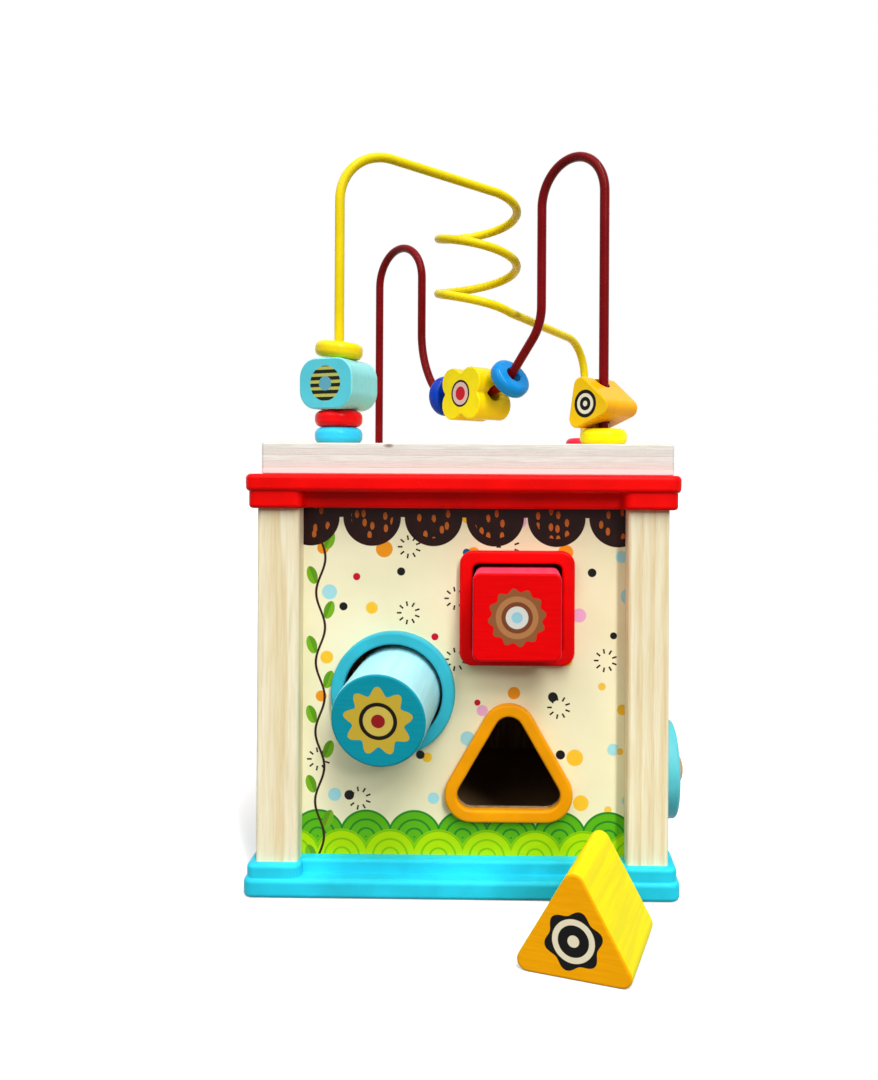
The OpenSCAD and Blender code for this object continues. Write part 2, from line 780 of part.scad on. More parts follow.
// Places its children on one of the trough's bends, `angle` from the bend's bottom and hung `down`
// below the wire's centre line, with Z along the wire. A negative angle lies left of the bottom.
module on_bend(turn, turn_z, r, angle, down) {
    on_diagonal() translate([turn, 0, turn_z])
        rotate([0, -angle, 0]) translate([0, 0, -r - down]) rotate([0, 90, 0]) children();
}

module dark_blue_disc() {
    color("mediumblue")
        on_bend(left_turn, left_turn_z, trough_left_r, -dark_disc_angle, bead_hang - bend_rise)
            disc_bead();
}

module flower_bead() {
    color("yellow") on_diagonal() translate([left_turn + flower_along, 0, trough_z - bead_hang])
        rotate([0, 90, 0]) shaped_bead(flower_w) flower_outline(flower_h, flower_w, flower_lobe_r);
}

module light_blue_disc() {
    color("dodgerblue")
        on_bend(right_turn, right_turn_z, trough_right_r, light_disc_angle, leaning_hang)
            rotate([0, light_disc_lean, 0]) disc_bead();
}

// ---------- turning wheels and gears ----------

gear_places = [[-gear_y, gear_z], [0, gear_z + gear_rise], [gear_y, gear_z]];
gear_phases = [gear_angle, gear_angle + 180 + 180 / gear_teeth, -3 * gear_angle];

// Hub with its bore, from just off the panel to `out`.
module hub(out, disc_t) {
    translate([0, 0, rest_gap]) difference() {
        union() {
            cylinder(h = out - rest_gap, d = hub_d);
            translate([0, 0, out - rest_gap - disc_t]) children();
        }
        translate([0, 0, -1]) cylinder(h = out + 2, d = axle_d + 2 * run_fit);
    }
}

// Round disc with softened edges.
module wheel_disc() {
    soft = 2;
    r = wheel_d / 2;
    rotate_extrude($fn = 96) {
        square([r - soft, wheel_t]);
        translate([0, soft]) square([r, wheel_t - 2 * soft]);
        for (z = [soft, wheel_t - soft]) translate([r - soft, z]) circle(soft);
    }
}

module wheel(y) {
    on_side(1, y, wheel_z) hub(wheel_out, wheel_t) wheel_disc();
}

module front_wheel() {
    color("mediumturquoise") wheel(-wheel_y);
}

module back_wheel() {
    color("orange") wheel(wheel_y);
}

// Gear outline: a round body with round-ended teeth.
module gear_outline() {
    circle(gear_root_r);
    for (i = [0 : gear_teeth - 1]) rotate(360 * i / gear_teeth) {
        translate([gear_pitch_r + tooth_reach, 0]) circle(tooth_r);
        translate([gear_root_r / 2, -tooth_r])
            square([gear_pitch_r + tooth_reach - gear_root_r / 2, 2 * tooth_r]);
    }
}

// Gear number i. The side's frame turns the outline so that angles run from +Y towards +Z.
module gear(i) {
    on_side(-1, gear_places[i][0], gear_places[i][1])
        hub(gear_out, gear_t) linear_extrude(gear_t) rotate(90 - gear_phases[i]) gear_outline();
}

module gear_front() {
    color("lightskyblue") gear(0);
}

module gear_middle() {
    color("red") gear(1);
}

module gear_back() {
    color("yellow") gear(2);
}

// Wooden peg with a domed head outside and its tail through the panel.
module axle(out) {
    translate([0, 0, -panel_t - washer_t]) cylinder(h = panel_t + washer_t + out + rest_gap, d = axle_d);
    translate([0, 0, out + rest_gap]) intersection() {
        cylinder(h = axle_head_h, d = axle_head_d);
        translate([0, 0, axle_head_h - axle_head_d * 0.8]) sphere(axle_head_d * 0.8);
    }
}

module wheel_axles() {
    color("burlywood") for (y = [-wheel_y, wheel_y]) on_side(1, y, wheel_z) axle(wheel_out);
}

module gear_axles() {
    color("burlywood") for (p = gear_places) on_side(-1, p[0], p[1]) axle(gear_out);
}

// Rings glued to the axles' tails against the insides of the panels.
module axle_washer() {
    translate([0, 0, -panel_t - washer_t]) difference() {
        cylinder(h = washer_t, d = washer_d);
        translate([0, 0, -1]) cylinder(h = washer_t + 2, d = axle_d + 2 * run_fit);
    }
}

module axle_washers() {
    color("burlywood") {
        for (y = [-wheel_y, wheel_y]) on_side(1, y, wheel_z) axle_washer();
        for (p = gear_places) on_side(-1, p[0], p[1]) axle_washer();
    }
}

base_board();
post(0);  // post_front_left
post(90);  // post_front_right
post(180);  // post_back_right
post(270);  // post_back_left
top_frame();
front_panel();
back_panel();
left_panel();
right_panel();
round_ring();
square_ring();
triangle_ring();
base_screws();
frame_screws();
wheel_axles();
gear_axles();
axle_washers();
lid_board();
lid_plug();
yellow_wire();
red_wire();
left_blue_disc();
left_red_disc();
teal_bead();
left_yellow_disc();
dark_blue_disc();
flower_bead();
light_blue_disc();
right_yellow_disc();
triangle_bead();
back_red_disc();
round_block();
square_block();
triangle_block();
front_wheel();
back_wheel();
gear_front();
gear_middle();
gear_back();
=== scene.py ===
"""Looks of a wooden activity cube: a shape-sorting box with a bead maze on its lid.

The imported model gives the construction. This script gives its pieces their finishes, rebuilds the
ones whose softened edges matter, and sets up the studio. All lengths are in metres.
"""

import json
import logging
import math
from dataclasses import dataclass, field
from enum import Enum

import bmesh
import bpy
from mathutils import Euler, Matrix, Vector


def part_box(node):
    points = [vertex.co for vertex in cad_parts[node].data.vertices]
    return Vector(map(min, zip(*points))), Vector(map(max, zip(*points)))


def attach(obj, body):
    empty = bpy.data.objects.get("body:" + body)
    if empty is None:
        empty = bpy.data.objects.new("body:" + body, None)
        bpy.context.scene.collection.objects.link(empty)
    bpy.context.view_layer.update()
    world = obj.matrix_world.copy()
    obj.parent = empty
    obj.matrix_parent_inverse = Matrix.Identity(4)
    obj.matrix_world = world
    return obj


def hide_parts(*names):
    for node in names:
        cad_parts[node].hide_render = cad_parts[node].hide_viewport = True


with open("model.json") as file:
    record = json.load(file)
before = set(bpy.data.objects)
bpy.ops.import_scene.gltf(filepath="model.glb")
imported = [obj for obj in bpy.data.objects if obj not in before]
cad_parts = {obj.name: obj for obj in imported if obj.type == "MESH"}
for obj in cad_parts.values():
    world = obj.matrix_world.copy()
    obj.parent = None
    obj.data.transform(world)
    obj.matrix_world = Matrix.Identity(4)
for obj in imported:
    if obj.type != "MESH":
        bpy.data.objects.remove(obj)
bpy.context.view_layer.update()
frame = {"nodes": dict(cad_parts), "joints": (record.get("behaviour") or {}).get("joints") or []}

LOG = logging.getLogger("activity_cube")
MM = 0.001
QUARTER = math.pi / 2
UP = Vector((0, 0, 1))
Colour = tuple[float, float, float]
Point2 = tuple[float, float]
Triple = tuple[float, float, float]


class Axis(Enum):
    """A main direction, with its place in a vector."""

    X = 0
    Y = 1
    Z = 2


# ---------------------------------------------------------------- colours


def linear(colour: Colour) -> tuple[float, float, float, float]:
    """Turns a display colour of 0 to 255 into the linear RGBA that shaders take.

    Args:
        colour: Red, green and blue, each 0 to 255.

    Returns:
        The linear colour with an alpha of 1.
    """
    values = []
    for part in colour:
        part = part / 255
        values.append(part / 12.92 if part <= 0.04045 else ((part + 0.055) / 1.055) ** 2.4)
    return (*values, 1.0)


def shaded(colour: Colour, factor: float) -> Colour:
    """Display colour made darker or brighter by a factor."""
    return tuple(min(255.0, part * factor) for part in colour)


def lighter(colour: Colour, share: float) -> Colour:
    """Display colour moved towards white by a share."""
    return tuple(part + (255 - part) * share for part in colour)


def tones(colour: Colour, factor: float, share: float) -> tuple[Colour, Colour]:
    """Darker and lighter tone of a display colour."""
    return shaded(colour, factor), lighter(colour, share)


# ---------------------------------------------------------------- shader building


class Val:
    """A number that a shader works out, with arithmetic written as Python operators."""

    def __init__(self, nodes: "Nodes", socket: bpy.types.NodeSocket) -> None:
        """Wraps one output socket."""
        self.nodes, self.socket = nodes, socket

    def math(self, operation: str, *others: "Val | float") -> "Val":
        """Math node on this value and others."""
        return self.nodes.math(operation, self, *others)

    def __add__(self, other: "Val | float") -> "Val":
        """Sum."""
        return self.math("ADD", other)

    __radd__ = __add__

    def __sub__(self, other: "Val | float") -> "Val":
        """Difference."""
        return self.math("SUBTRACT", other)

    def __rsub__(self, other: float) -> "Val":
        """Difference, from a number."""
        return self.nodes.math("SUBTRACT", other, self)

    def __mul__(self, other: "Val | float") -> "Val":
        """Product."""
        return self.math("MULTIPLY", other)

    __rmul__ = __mul__

    def __truediv__(self, other: "Val | float") -> "Val":
        """Quotient."""
        return self.math("DIVIDE", other)

    def __lt__(self, other: "Val | float") -> "Val":
        """1 where this value is below the other."""
        return self.math("LESS_THAN", other)

    def __gt__(self, other: "Val | float") -> "Val":
        """1 where this value is above the other."""
        return self.math("GREATER_THAN", other)

    def fract(self) -> "Val":
        """Part after the decimal point."""
        return self.math("FRACT")

    def size(self) -> "Val":
        """Distance from zero."""
        return self.math("ABSOLUTE")

    def sin(self) -> "Val":
        """Sine of radians."""
        return self.math("SINE")

    def high(self, other: "Val | float") -> "Val":
        """Larger of two."""
        return self.math("MAXIMUM", other)

    def ramp(self, start: float, end: float, low: float = 0.0, high: float = 1.0) -> "Val":
        """Smooth step.

        Args:
            start: Value at which the step starts.
            end: Value at which it ends.
            low: Result before the start.
            high: Result after the end.

        Returns:
            The stepped value.
        """
        limits = {"From Min": start, "From Max": end, "To Min": low, "To Max": high}
        node = self.nodes.node("ShaderNodeMapRange", {"interpolation_type": "SMOOTHSTEP"}, Value=self, **limits)
        return self.nodes.out(node, "Result")

    def falling(self, start: float, end: float) -> "Val":
        """Smooth step from 1 down to 0."""
        return self.ramp(start, end, 1.0, 0.0)

    def edge(self, soft: float) -> "Val":
        """1 above zero and 0 below, over an edge of a softness."""
        return self.ramp(-soft, soft)

    def cyclic(self, width: float, shift: float = 0.0) -> "Val":
        """Distance from the middle of the strip that this value lies in."""
        return ((self / width + shift).fract() - 0.5) * width


class Nodes:
    """A node tree that is being built."""

    def __init__(self, tree: bpy.types.NodeTree) -> None:
        """Wraps a node tree."""
        self.tree = tree

    def link(self, value: object, target: bpy.types.NodeSocket) -> None:
        """Links or sets one input.

        Args:
            value: A Val, an output socket, a number or a colour.
            target: The input.
        """
        if isinstance(value, Val):
            self.tree.links.new(value.socket, target)
        elif isinstance(value, bpy.types.NodeSocket):
            self.tree.links.new(value, target)
        else:
            target.default_value = value

    def node(self, kind: str, settings: dict | None = None, **sockets: object) -> bpy.types.Node:
        """Adds a node.

        Args:
            kind: The node's type.
            settings: Its properties, set first. "stops" gives a ramp's (place, colour) pairs.
            sockets: Values or links of its inputs by name, or by number as "_0".

        Returns:
            The node.
        """
        node = self.tree.nodes.new(kind)
        for key, value in (settings or {}).items():
            if key == "stops":
                self.set_stops(node.color_ramp, value)
            else:
                setattr(node, key, value)
        for key, value in sockets.items():
            self.link(value, node.inputs[int(key[1:]) if key.startswith("_") else key])
        return node

    @staticmethod
    def set_stops(ramp: bpy.types.ColorRamp, stops: list[tuple[float, Colour]]) -> None:
        """Gives a ramp its colours, which change in hard steps.

        Args:
            ramp: The ramp.
            stops: Places and display colours, in order.
        """
        ramp.interpolation = "CONSTANT"
        while len(ramp.elements) < len(stops):
            ramp.elements.new(1.0)
        for element, (place, colour) in zip(ramp.elements, stops):
            element.position = place
            element.color = linear(colour)

    def out(self, node: bpy.types.Node, name: str | int = 0) -> Val:
        """Output of a node as a value."""
        return Val(self, node.outputs[name])

    def math(self, operation: str, *values: "Val | float") -> Val:
        """Math node on any values."""
        sockets = {f"_{i}": value for i, value in enumerate(values)}
        return self.out(self.node("ShaderNodeMath", {"operation": operation}, **sockets))

    def place(self, at: "Place | None" = None) -> Val:
        """Coordinates of the piece, counted from a place on it.

        Args:
            at: The place and its turn, or None for the object's own frame.

        Returns:
            The coordinates as a vector.
        """
        vector = self.out(self.node("ShaderNodeTexCoord"), "Object")
        if at is not None:
            settings = {"vector_type": "TEXTURE"}
            mapping = {"Location": at.origin, "Rotation": at.turn}
            vector = self.out(self.node("ShaderNodeMapping", settings, Vector=vector, **mapping))
        return vector

    def stretched(self, vector: Val, scale: Triple) -> Val:
        """Vector stretched along each axis."""
        return self.out(self.node("ShaderNodeMapping", {"vector_type": "POINT"}, Vector=vector, Scale=scale))

    def split(self, vector: Val) -> tuple[Val, Val, Val]:
        """X, Y and Z of a vector."""
        node = self.node("ShaderNodeSeparateXYZ", Vector=vector)
        return self.out(node, 0), self.out(node, 1), self.out(node, 2)

    def join(self, x: "Val | float", y: "Val | float", z: "Val | float") -> Val:
        """Vector of three numbers."""
        return self.out(self.node("ShaderNodeCombineXYZ", _0=x, _1=y, _2=z))

    @staticmethod
    def reach(u: Val, v: Val) -> Val:
        """Distance from the middle of a plane."""
        return (u * u + v * v).math("SQRT")

    def noise(self, vector: Val, scale: float, detail: float = 2.0, distortion: float = 0.0) -> Val:
        """Soft noise of 0 to 1.

        Args:
            vector: Coordinates.
            scale: Features for each unit of them.
            detail: Octaves.
            distortion: How far the noise is warped.

        Returns:
            The noise.
        """
        knobs = {"Scale": scale, "Detail": detail, "Distortion": distortion}
        return self.out(self.node("ShaderNodeTexNoise", Vector=vector, **knobs))

    def grain(self, scale: Triple, detail: float = 2.0, warp: float = 0.0, at: "Place | None" = None) -> Val:
        """Noise with other features along each axis.

        Args:
            scale: Features for each metre along X, Y and Z.
            detail: Octaves.
            warp: How far the noise is warped.
            at: Place that it is counted from, or None for the object's own frame.

        Returns:
            The noise.
        """
        return self.noise(self.stretched(self.place(at), scale), 1, detail, warp)

    def cells(self, vector: Val, width: float, jitter: float) -> bpy.types.Node:
        """Flat grid of cells whose middles are jittered."""
        knobs = {"Scale": 1 / width, "Randomness": jitter}
        return self.node("ShaderNodeTexVoronoi", {"voronoi_dimensions": "2D"}, Vector=vector, **knobs)

    def mix(self, share: "Val | float", first: object, second: object) -> Val:
        """Blends two colours.

        Args:
            share: Share of the second.
            first: Display colour or link.
            second: Display colour or link.

        Returns:
            The blended colour.
        """
        ends = [linear(end) if isinstance(end, tuple) else end for end in (first, second)]
        node = self.node("ShaderNodeMix", {"data_type": "RGBA"}, _0=share, _6=ends[0], _7=ends[1])
        return self.out(node, 2)

    def shown(self) -> Val:
        """Tells the rays that show a thing from the rays that carry its light.

        Returns:
            1 for camera, glossy and transmission rays, 0 for the others.
        """
        path = self.node("ShaderNodeLightPath")
        rays = ("Camera", "Glossy", "Transmission")
        camera, glossy, through = (self.out(path, f"Is {ray} Ray") for ray in rays)
        return camera.high(glossy).high(through)


class Shade(Nodes):
    """One material and its nodes."""

    def __init__(self, name: str) -> None:
        """Starts a material with one Principled shader.

        Args:
            name: The material's name.
        """
        self.material = bpy.data.materials.new(name)
        self.material.use_nodes = True
        super().__init__(self.material.node_tree)
        self.shader = self.tree.nodes["Principled BSDF"]

    def finish(
        self, colour: Val, rough: "Val | float", bump: Val | None = None, depth: float = 0.0, **fixed: float
    ) -> bpy.types.Material:
        """Connects the shader.

        Args:
            colour: Base colour.
            rough: Roughness.
            bump: Height of the surface, 0 to 1.
            depth: Height in metres that 1 stands for.
            fixed: Sockets set to one number, with underscores for spaces.

        Returns:
            The material.
        """
        self.link(colour, self.shader.inputs["Base Color"])
        self.link(rough, self.shader.inputs["Roughness"])
        for key, value in fixed.items():
            self.shader.inputs[key.replace("_", " ")].default_value = value
        if bump is not None:
            node = self.node("ShaderNodeBump", Height=bump, Strength=1.0, Distance=depth)
            self.link(self.out(node), self.shader.inputs["Normal"])
        return self.material


@dataclass(frozen=True)
class Place:
    """A spot on the object and the way it is turned, as Euler angles in radians."""

    origin: Triple = (0.0, 0.0, 0.0)
    turn: Triple = (0.0, 0.0, 0.0)

    def matrix(self) -> Matrix:
        """Transform from the place's own frame to the object's."""
        return Matrix.Translation(self.origin) @ Euler(self.turn).to_matrix().to_4x4()


class Canvas:
    """A face that is being printed: its colour so far, and the place on it."""

    def __init__(self, shade: Shade, ground: Val, u: Val, v: Val) -> None:
        """Starts from the bare ground, with u to the right and v upwards."""
        self.shade, self.colour, self.u, self.v = shade, ground, u, v

    def ink(self, where: Val, ink: "Colour | Val") -> None:
        """Lays an ink where a mask is 1."""
        self.colour = self.shade.mix(where, self.colour, ink)


# ---------------------------------------------------------------- finishes

PRINT_EDGE = 0.12 * MM
SATIN = 0.12


@dataclass(frozen=True)
class Motif:
    """A small printed ornament: rings, drawn from the outside in, the first wavy, barred or plain."""

    rings: tuple[tuple[float, Colour], ...]
    petals: int = 0
    wave: float = 0.0
    bars: float = 0.0
    bar_colour: Colour = (22, 26, 20)

    def paint(self, canvas: Canvas) -> None:
        """Draws the motif around the canvas's middle.

        Args:
            canvas: The face being printed.
        """
        shade, u, v = canvas.shade, canvas.u, canvas.v
        reach = shade.reach(u, v)
        for number, (radius, ink) in enumerate(self.rings):
            if number == 0 and self.petals:
                radius = radius + (v.math("ARCTAN2", u) * self.petals).sin() * self.wave
            if number == 0 and self.bars:
                ink = shade.mix((v / self.bars).fract().ramp(0.42, 0.5), ink, self.bar_colour)
            canvas.ink((radius - reach).edge(0.08 * MM), ink)


@dataclass(frozen=True)
class Paint:
    """Sprayed satin paint on sanded board: faint mottling, a little orange peel, rubbed high spots."""

    name: str
    colour: Colour
    rough: float = 0.42
    shine: float = 0.1
    bare_reach: float = 0.0
    bare_wood: tuple[Colour, Colour] = ((176, 146, 106), (150, 118, 80))

    def build(self) -> bpy.types.Material:
        """Builds the material. Inside bare_reach of the middle the wood is left unpainted.

        Returns:
            The material.
        """
        shade = Shade(self.name)
        here = shade.place()
        cloud = shade.noise(here, 34, 3)
        fine = shade.noise(here, 900)
        peel = shade.noise(here, 420)
        colour = shade.mix(cloud.ramp(0.3, 0.72), shaded(self.colour, 0.93), shaded(self.colour, 1.04))
        colour = shade.mix(fine.ramp(0.71, 0.76) * 0.12, colour, lighter(self.colour, 0.5))
        if self.bare_reach:
            x, y, z = shade.split(here)
            bare = (x.size() < self.bare_reach) * (y.size() < self.bare_reach) * (z > MM)
            colour = shade.mix(bare, colour, shade.mix(cloud, *self.bare_wood))
        rough = cloud.ramp(0.25, 0.75, self.rough - 0.06, self.rough + 0.08)
        return shade.finish(colour, rough, peel * 0.7 + fine * 0.3, 0.06 * MM, Specular_IOR_Level=self.shine)


@dataclass(frozen=True)
class Lacquer:
    """Thick glossy lacquer on a wooden bead, whose face may be printed and its sides another colour."""

    name: str
    colour: Colour
    at: Place
    motif: Motif | None = None
    side_colour: Colour | None = None
    face_depth: float = 0.0

    def build(self) -> bpy.types.Material:
        """Builds the material.

        Returns:
            The material.
        """
        shade = Shade(self.name)
        here = shade.place(self.at)
        grain = shade.grain((140, 140, 420), 3, 0.6, self.at)
        cloud = shade.noise(here, 120)
        figure = grain.ramp(0.35, 0.6)
        colour = shade.mix(figure, *tones(self.colour, 0.98, 0.0))
        if self.motif is not None:
            u, v, depth = shade.split(here)
            side = shade.mix(figure, *tones(self.side_colour, 0.98, 0.0))
            colour = shade.mix(depth.ramp(self.face_depth - 0.3 * MM, self.face_depth), side, colour)
            face = Canvas(shade, colour, u, v)
            self.motif.paint(face)
            colour = shade.mix(depth > self.face_depth - 0.2 * MM, colour, face.colour)
        rough = cloud.ramp(0.3, 0.7, 0.16, 0.28)
        return shade.finish(colour, rough, grain * 0.5 + cloud * 0.5, 0.006 * MM, Specular_IOR_Level=SATIN)


@dataclass(frozen=True)
class StainedBlock:
    """Beech block in a translucent stain, with its grain and pores showing and a printed front face. The round
    and square blocks' sides are painted lighter, a painted highlight.
    """

    name: str
    face: Colour
    side: Colour
    at: Place
    face_depth: float
    motif: Motif

    def build(self) -> bpy.types.Material:
        """Builds the material.

        Returns:
            The material.
        """
        shade = Shade(self.name)
        streaks = shade.grain((260, 260, 14), 4, 0.8, self.at)
        pores = shade.grain((1500, 1500, 90), at=self.at)
        end_grain = shade.grain((60, 900, 60), 3, 0.5, self.at)
        u, v, depth = shade.split(shade.place(self.at))
        side = shade.mix(streaks.ramp(0.35, 0.66), *tones(self.side, 0.95, 0.03))
        side = shade.mix(pores.ramp(0.66, 0.74) * 0.14, side, shaded(self.side, 0.7))
        face = Canvas(shade, shade.mix(end_grain.ramp(0.3, 0.7), *tones(self.face, 0.96, 0.01)), u, v)
        self.motif.paint(face)
        on_face = depth.ramp(self.face_depth - 0.9 * MM, self.face_depth - 0.4 * MM)
        colour = shade.mix(on_face, side, face.colour)
        height = streaks * 0.6 + (1 - pores.ramp(0.64, 0.74)) * 0.4
        rough = streaks.ramp(0.3, 0.7, 0.42, 0.56)
        return shade.finish(colour, rough, height, 0.03 * MM, Specular_IOR_Level=0.05)


@dataclass(frozen=True)
class BareWood:
    """Planed bare wood, its grain along one axis, with growth rings, rays and fine pores."""

    name: str
    light: Colour
    dark: Colour
    along: Axis = Axis.Z
    ring_gap: float = 5.2 * MM
    heart: Triple = (0.0, 0.0, 0.0)

    def build(self) -> bpy.types.Material:
        """Builds the material.

        Returns:
            The material.
        """
        shade = Shade(self.name)
        stretch = [1.0, 1.0, 1.0]
        stretch[self.along.value] = 0.045
        slow = shade.stretched(shade.place(Place(self.heart)), tuple(stretch))
        across = list(shade.split(slow))
        del across[self.along.value]
        reach = shade.reach(*across) + shade.noise(slow, 45, 3, 0.4) * (self.ring_gap * 1.6)
        ring = (reach / self.ring_gap).fract()
        band = ring.ramp(0.15, 0.85) * (1 - ring.ramp(0.88, 1.0))
        fibre = shade.noise(slow, 900, 3)
        fine = shade.noise(slow, 2600)
        share = band * 0.5 + fibre.ramp(0.3, 0.75) * 0.4 + fine.ramp(0.4, 0.8) * 0.16
        streak = shade.noise(slow, 260, 2, 0.3).ramp(0.6, 0.72)
        colour = shade.mix(streak * 0.3, shade.mix(share, self.light, self.dark), shaded(self.dark, 0.84))
        height = fibre * 0.7 + (1 - band) * 0.3
        return shade.finish(colour, 0.58 + fine * 0.12, height, 0.12 * MM, Specular_IOR_Level=SATIN)


@dataclass(frozen=True)
class Plywood:
    """Birch plywood: plies of turned grain on the edges, a pale cut face above and below, one knot."""

    name: str
    bottom: float
    top: float
    plies: int = 5
    knot: Point2 = (-35.7 * MM, 214.5 * MM)

    def build(self) -> bpy.types.Material:
        """Builds the material.

        Returns:
            The material.
        """
        shade = Shade(self.name)
        x, y, z = shade.split(shade.place())
        wobble = (shade.grain((14, 14, 60)) - 0.5) * (0.5 * MM)
        level = (z + wobble - self.bottom) / ((self.top - self.bottom) / self.plies)
        crossed = (level.math("FLOOR") / 2).fract() * 2
        in_ply = level.fract()
        joint = in_ply.falling(0.0, 0.09).high(in_ply.ramp(0.92, 1.0))
        run = shade.join(x + y, x - y, z)
        long_grain = shade.noise(shade.stretched(run, (55, 55, 2600)), 1, 3, 0.3)
        end_grain = shade.noise(shade.stretched(run, (1500, 1500, 1900)), 1, 3)
        pale = shade.mix(long_grain.ramp(0.35, 0.7), (240, 238, 230), (224, 219, 209))
        brown = shade.mix(end_grain.ramp(0.35, 0.72), (226, 214, 204), (206, 190, 178))
        edge = shade.mix(crossed * 0.4, pale, brown)
        edge = shade.mix(level.falling(0.95, 1.05) * 0.8, edge, (250, 232, 228))
        edge = shade.mix(joint * 0.35, edge, (196, 190, 178))
        aside, above = x - self.knot[0], z - self.knot[1]
        knot = (aside * aside + above * above * 5).math("SQRT").falling(0.8 * MM, 3.2 * MM) * (y < -90 * MM)
        edge = shade.mix(knot * 0.75, edge, (128, 92, 62))
        figure = shade.grain((16, 420, 60), 4, 0.7).ramp(0.35, 0.7) * 0.6
        figure = figure + shade.grain((5, 46, 10), 3, 1.2).ramp(0.42, 0.62) * 0.4
        face = shade.mix(figure, (240, 226, 200), (216, 192, 156))
        flat = z.ramp(self.top - 0.4 * MM, self.top - 0.1 * MM)
        flat = flat.high(z.falling(self.bottom + 0.1 * MM, self.bottom + 0.4 * MM))
        height = long_grain * 0.4 + end_grain * 0.3 + (1 - joint) * 0.3
        rough = 0.6 + end_grain * 0.15
        return shade.finish(shade.mix(flat, edge, face), rough, height, 0.15 * MM, Specular_IOR_Level=SATIN)


@dataclass(frozen=True)
class Coating:
    """Dipped plastic coating on a bent steel wire."""

    name: str
    colour: Colour

    def build(self) -> bpy.types.Material:
        """Builds the material.

        Returns:
            The material.
        """
        shade = Shade(self.name)
        here = shade.place()
        cloud = shade.noise(here, 60, 3)
        ripple = shade.noise(here, 700)
        scuff = shade.grain((160, 160, 900), 3).ramp(0.66, 0.78)
        colour = shade.mix(cloud.ramp(0.3, 0.7), *tones(self.colour, 0.96, 0.03))
        colour = shade.mix(scuff * 0.05, colour, lighter(self.colour, 0.4))
        rough = cloud.ramp(0.3, 0.7, 0.22, 0.3) + scuff * 0.06
        return shade.finish(colour, rough, ripple, 0.004 * MM, Specular_IOR_Level=0.08)


@dataclass(frozen=True)
class Steel:
    """Zinc-plated steel with fine turning marks."""

    name: str

    def build(self) -> bpy.types.Material:
        """Builds the material.

        Returns:
            The material.
        """
        shade = Shade(self.name)
        marks = shade.grain((900, 900, 6000))
        colour = shade.mix(shade.noise(shade.place(), 300, 3), (176, 178, 180), (214, 212, 204))
        return shade.finish(colour, marks.ramp(0.3, 0.7, 0.22, 0.4), marks, 0.02 * MM, Metallic=1.0)


@dataclass(frozen=True)
class Confetti:
    """One scatter of printed dots: a dot or a burst of dashes in each cell of a jittered grid."""

    cell: float
    shift: Point2
    smallest: float
    largest: float
    bursts: float
    inks: tuple[Colour, ...]
    jitter: float = 0.62
    dash: tuple[float, float] = (3.4 * MM, 5.7 * MM)
    dashes: int = 9
    stroke: float = 0.42 * MM

    def paint(self, canvas: Canvas) -> None:
        """Prints the scatter.

        Args:
            canvas: The face being printed.
        """
        shade, u, v = canvas.shade, canvas.u + self.shift[0], canvas.v + self.shift[1]
        cells = shade.cells(shade.join(u, v, 0.0), self.cell, self.jitter)
        chance, choice, size = shade.split(shade.out(cells, "Color"))
        middle_u, middle_v, _ = shade.split(shade.out(cells, "Position"))
        u, v = u - middle_u, v - middle_v
        reach = shade.reach(u, v)
        radius = size * (self.largest - self.smallest) + self.smallest
        stops = [(i / len(self.inks), ink) for i, ink in enumerate(self.inks)]
        ink = shade.out(shade.node("ShaderNodeValToRGB", {"stops": stops}, Fac=choice))
        canvas.ink((radius - reach).edge(PRINT_EDGE) * (chance > self.bursts), ink)
        if self.bursts:
            turn = v.math("ARCTAN2", u) * (self.dashes / math.tau)
            off_dash = (turn.fract() - 0.5).size() * (math.tau / self.dashes) * reach
            near, far = self.dash
            dash = (self.stroke - off_dash).edge(PRINT_EDGE) * (reach > near) * (reach < far)
            canvas.ink(dash * (chance < self.bursts * 0.8), (30, 24, 20))


